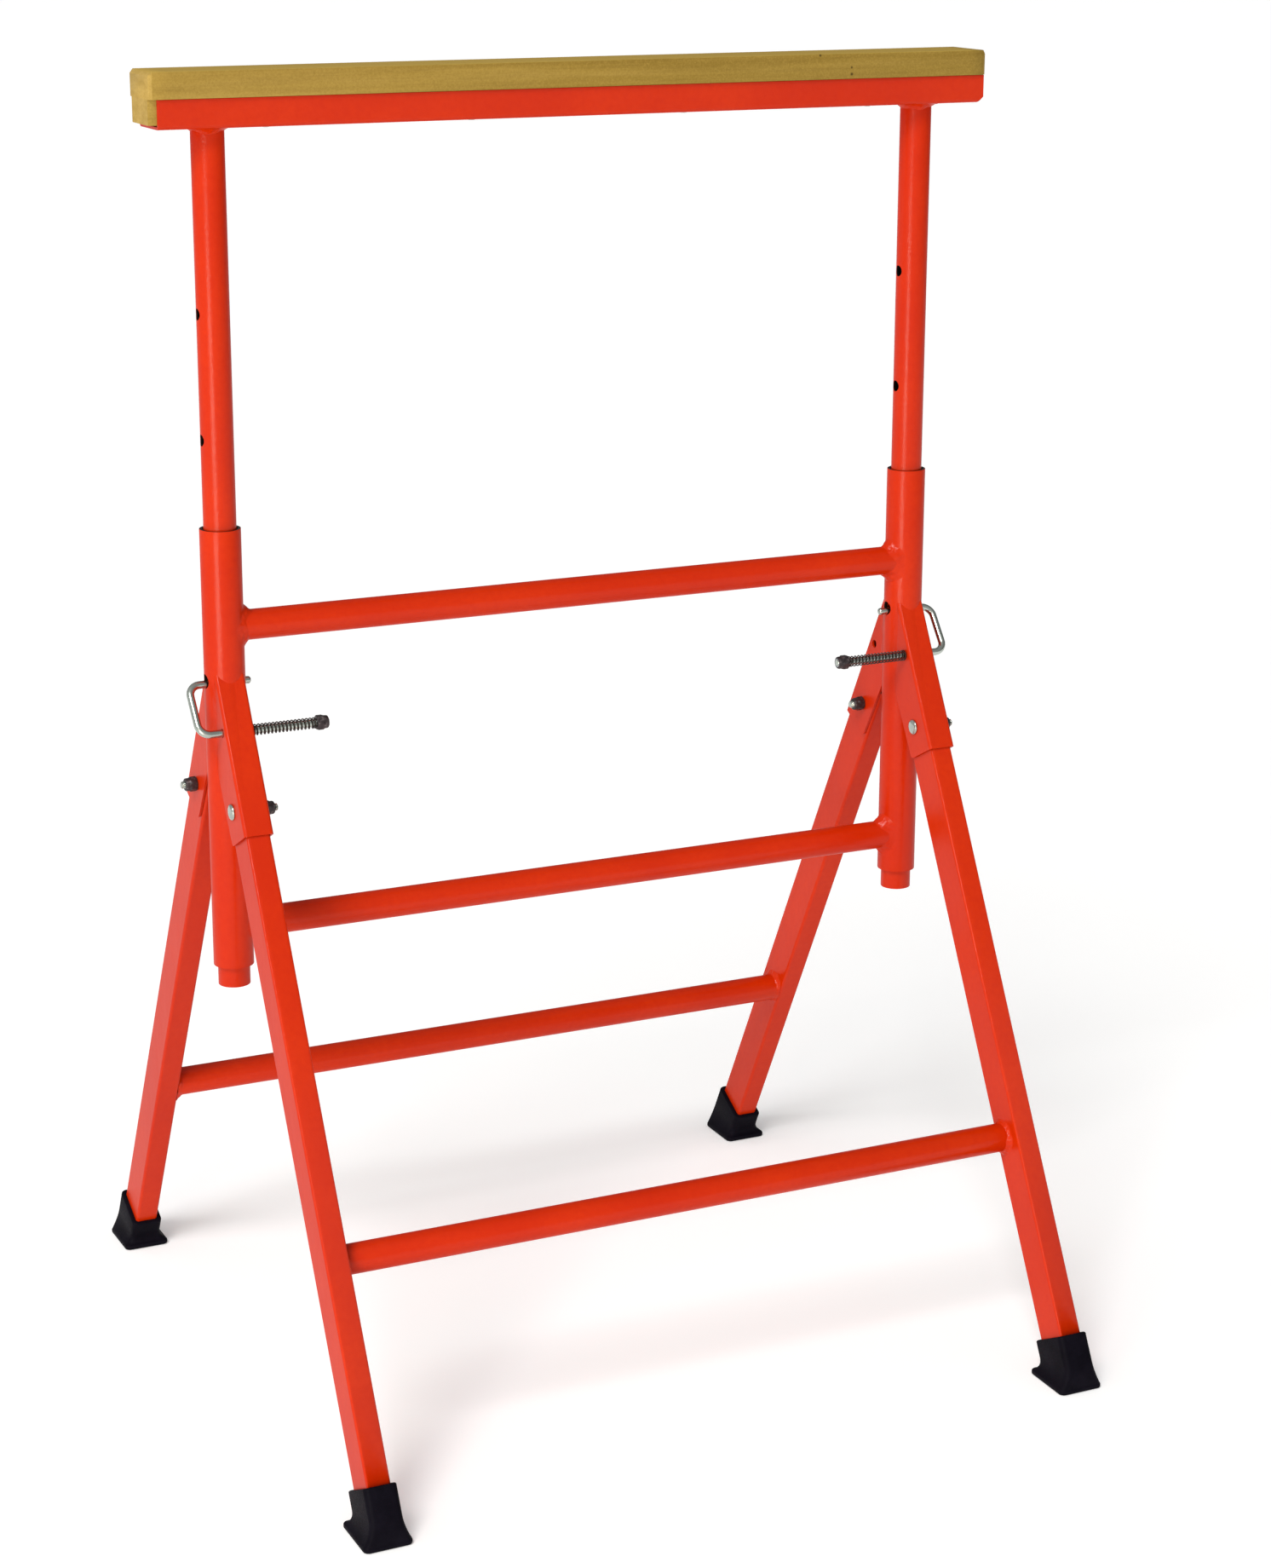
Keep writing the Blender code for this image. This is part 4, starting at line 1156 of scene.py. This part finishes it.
def locking_pin(side):
    """The bent bar, the nut on its lower prong and the nylon ring in the nut."""
    pin = swept("locking_pin_%s_bar" % SIDE_NAME[side], *pin_path(side), BOLT_STEPS)
    seat = side * (TUBE_X - PIN_INWARD[side] - SOCKET_WIDTH / 2 - SPRING_LENGTH - GAP)
    place = at(seat, -PRONG_Y, PRONG_Z) @ Matrix.Rotation(-side * math.pi / 2, 4, "Y")
    nut = lock_nut("pin_nut_%s_hex" % SIDE_NAME[side], place)
    full = NUT_HEIGHT + NUT_COLLAR
    low, high = full - 0.0016, full - 0.0002
    outer, inner = NUT_COLLAR_R * 0.80, PIN_R * 1.01
    profile = [(outer, high), (outer, low), (inner, low), (inner, high)]
    ring = turned("pin_nut_%s_ring" % SIDE_NAME[side], eased(profile, 0.0002, 2),
                  HEAD_STEPS, place)
    return pin, nut, ring


def pin_spring(side):
    """A helix of round wire, with a flattened dead turn at each end."""
    per_turn, wire_steps = 24, 10
    start = SOCKET_WIDTH / 2 + SPRING_WIRE_R + GAP
    travel = SPRING_LENGTH + PIN_INWARD[side] - 2 * (SPRING_WIRE_R + GAP)
    dead = 2.4 * SPRING_WIRE_R
    total = (SPRING_TURNS + 2) * per_turn
    origin = Vector((side * TUBE_X, -PRONG_Y, PRONG_Z))
    path = []
    for i in range(total + 1):
        turn = i / per_turn
        if turn < 1:
            along = dead * turn
        elif turn > SPRING_TURNS + 1:
            along = travel - dead * (SPRING_TURNS + 2 - turn)
        else:
            along = dead + (travel - 2 * dead) * (turn - 1) / SPRING_TURNS
        a = 2 * math.pi * turn
        path.append(origin + Vector((-side * (start + along), SPRING_R * math.cos(a),
                                     SPRING_R * math.sin(a))))
    return swept("pin_spring_%s_coil" % SIDE_NAME[side], path,
                 [SPRING_WIRE_R] * len(path), wire_steps)


# ---- assembly ----

bpy.context.scene.view_settings.view_transform = "Standard"
add_camera()
add_world()
add_floor()
add_sun("key", place=(-2.0, -1.8, 3.0), strength=1.75, spread=22)
add_softbox("window", place=(-2.9, -2.8, 0.95), target=(0, 0, 0.95), size=(1.1, 1.9),
            power=52, colour=(1.0, 0.90, 0.74))

PAINT_GUIDE = paint("enamel_guide", (55.0, 55.0, 9.0), bore=OUTER_R - 0.0003)
PAINT_DRILLED = paint("enamel_drilled", (55.0, 55.0, 9.0), bore=INNER_R - 0.0002)
PAINT_BEADS = paint("enamel_beads", (150.0, 150.0, 150.0))
PAINT_RAILS = paint("enamel_rails", (9.0, 55.0, 55.0))
PAINT_FOLDED = paint("enamel_folded", (30.0, 30.0, 14.0))
ZINC = zinc("zinc_plate", (0.50, 0.54, 0.49), 0.14, 0.26)
SPRING_STEEL = zinc("spring_steel", (0.060, 0.050, 0.045), 0.25, 0.38)
NYLON = nylon("nylon_ring")
BLACK_NUT = blackened("blackened_steel")
OAK = timber_look("ochre_timber")
RUBBER = rubber("black_rubber")


def put_paint(obj, body, look, *nodes):
    put(obj, body, "orange_paint", look, *nodes)


def put_bead(obj, body):
    put(obj, body, "orange_paint", PAINT_BEADS, degrees=80)


def put_nut(obj, body, node):
    put(obj, body, "black_nut", BLACK_NUT, node, degrees=30)


for side in (LEFT, RIGHT):
    name = SIDE_NAME[side]
    put_paint(outer_tube(side), "standing_frame", PAINT_GUIDE, "outer_tube_" + name)
    put_paint(inner_tube(side), "top_frame", PAINT_DRILLED, "inner_tube_" + name)
    put_bead(beam_weld(side), "top_frame")
    pin, nut, ring = locking_pin(side)
    put(pin, name + "_pin", "zinc_plate", ZINC, "locking_pin_" + name)
    put_nut(nut, name + "_pin", "pin_nut_" + name)
    put(ring, name + "_pin", "black_nut", NYLON)
    # A pulled pin shortens its spring against the socket.
    spring = put(pin_spring(side), "standing_frame", "zinc_plate", SPRING_STEEL,
                 "pin_spring_" + name)
    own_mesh(spring)

for number, node in enumerate(("frame_rail_upper", "frame_rail_lower")):
    put_paint(frame_rail(node), "standing_frame", PAINT_RAILS, node)
    for side in (LEFT, RIGHT):
        put_bead(rail_weld("%s_weld_%s" % (node, SIDE_NAME[side]), side, middle(node).z,
                           20.0 + number * 5 + side), "standing_frame")

for end in (FRONT, REAR):
    legs = END_NAME[end] + "_legs"
    for side in (LEFT, RIGHT):
        name = label(side, end)
        put_paint(leg_socket(side, end), "standing_frame", PAINT_FOLDED,
                  "leg_socket_" + name)
        for cheek in (LEFT, RIGHT):
            put_bead(socket_weld(side, end, cheek), "standing_frame")
        head, shank, nut = pivot_bolt(side, end)
        put(head, "standing_frame", "zinc_plate", ZINC, "pivot_bolt_" + name)
        put(shank, "standing_frame", "zinc_plate", ZINC)
        put_nut(nut, "standing_frame", "pivot_nut_" + name)
        put_paint(leg(side, end), legs, PAINT_FOLDED, "leg_" + name)
        put(foot(side, end), legs, "black_rubber", RUBBER, "foot_" + name, degrees=60)
        put_bead(leg_rail_weld(side, end), legs)
    put_paint(leg_rail(end), legs, PAINT_RAILS, "leg_rail_" + END_NAME[end])

put_paint(beam_channel(), "top_frame", PAINT_FOLDED, "beam_channel")
put(timber_bar(), "top_frame", "timber", OAK, "timber_bar", degrees=50)
# The timber's screws are out of sight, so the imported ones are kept.
for number in range(1, 5):
    screw = frame["nodes"]["timber_screw_%d" % number]
    screw.data.materials.clear()
    screw.data.materials.append(ZINC)
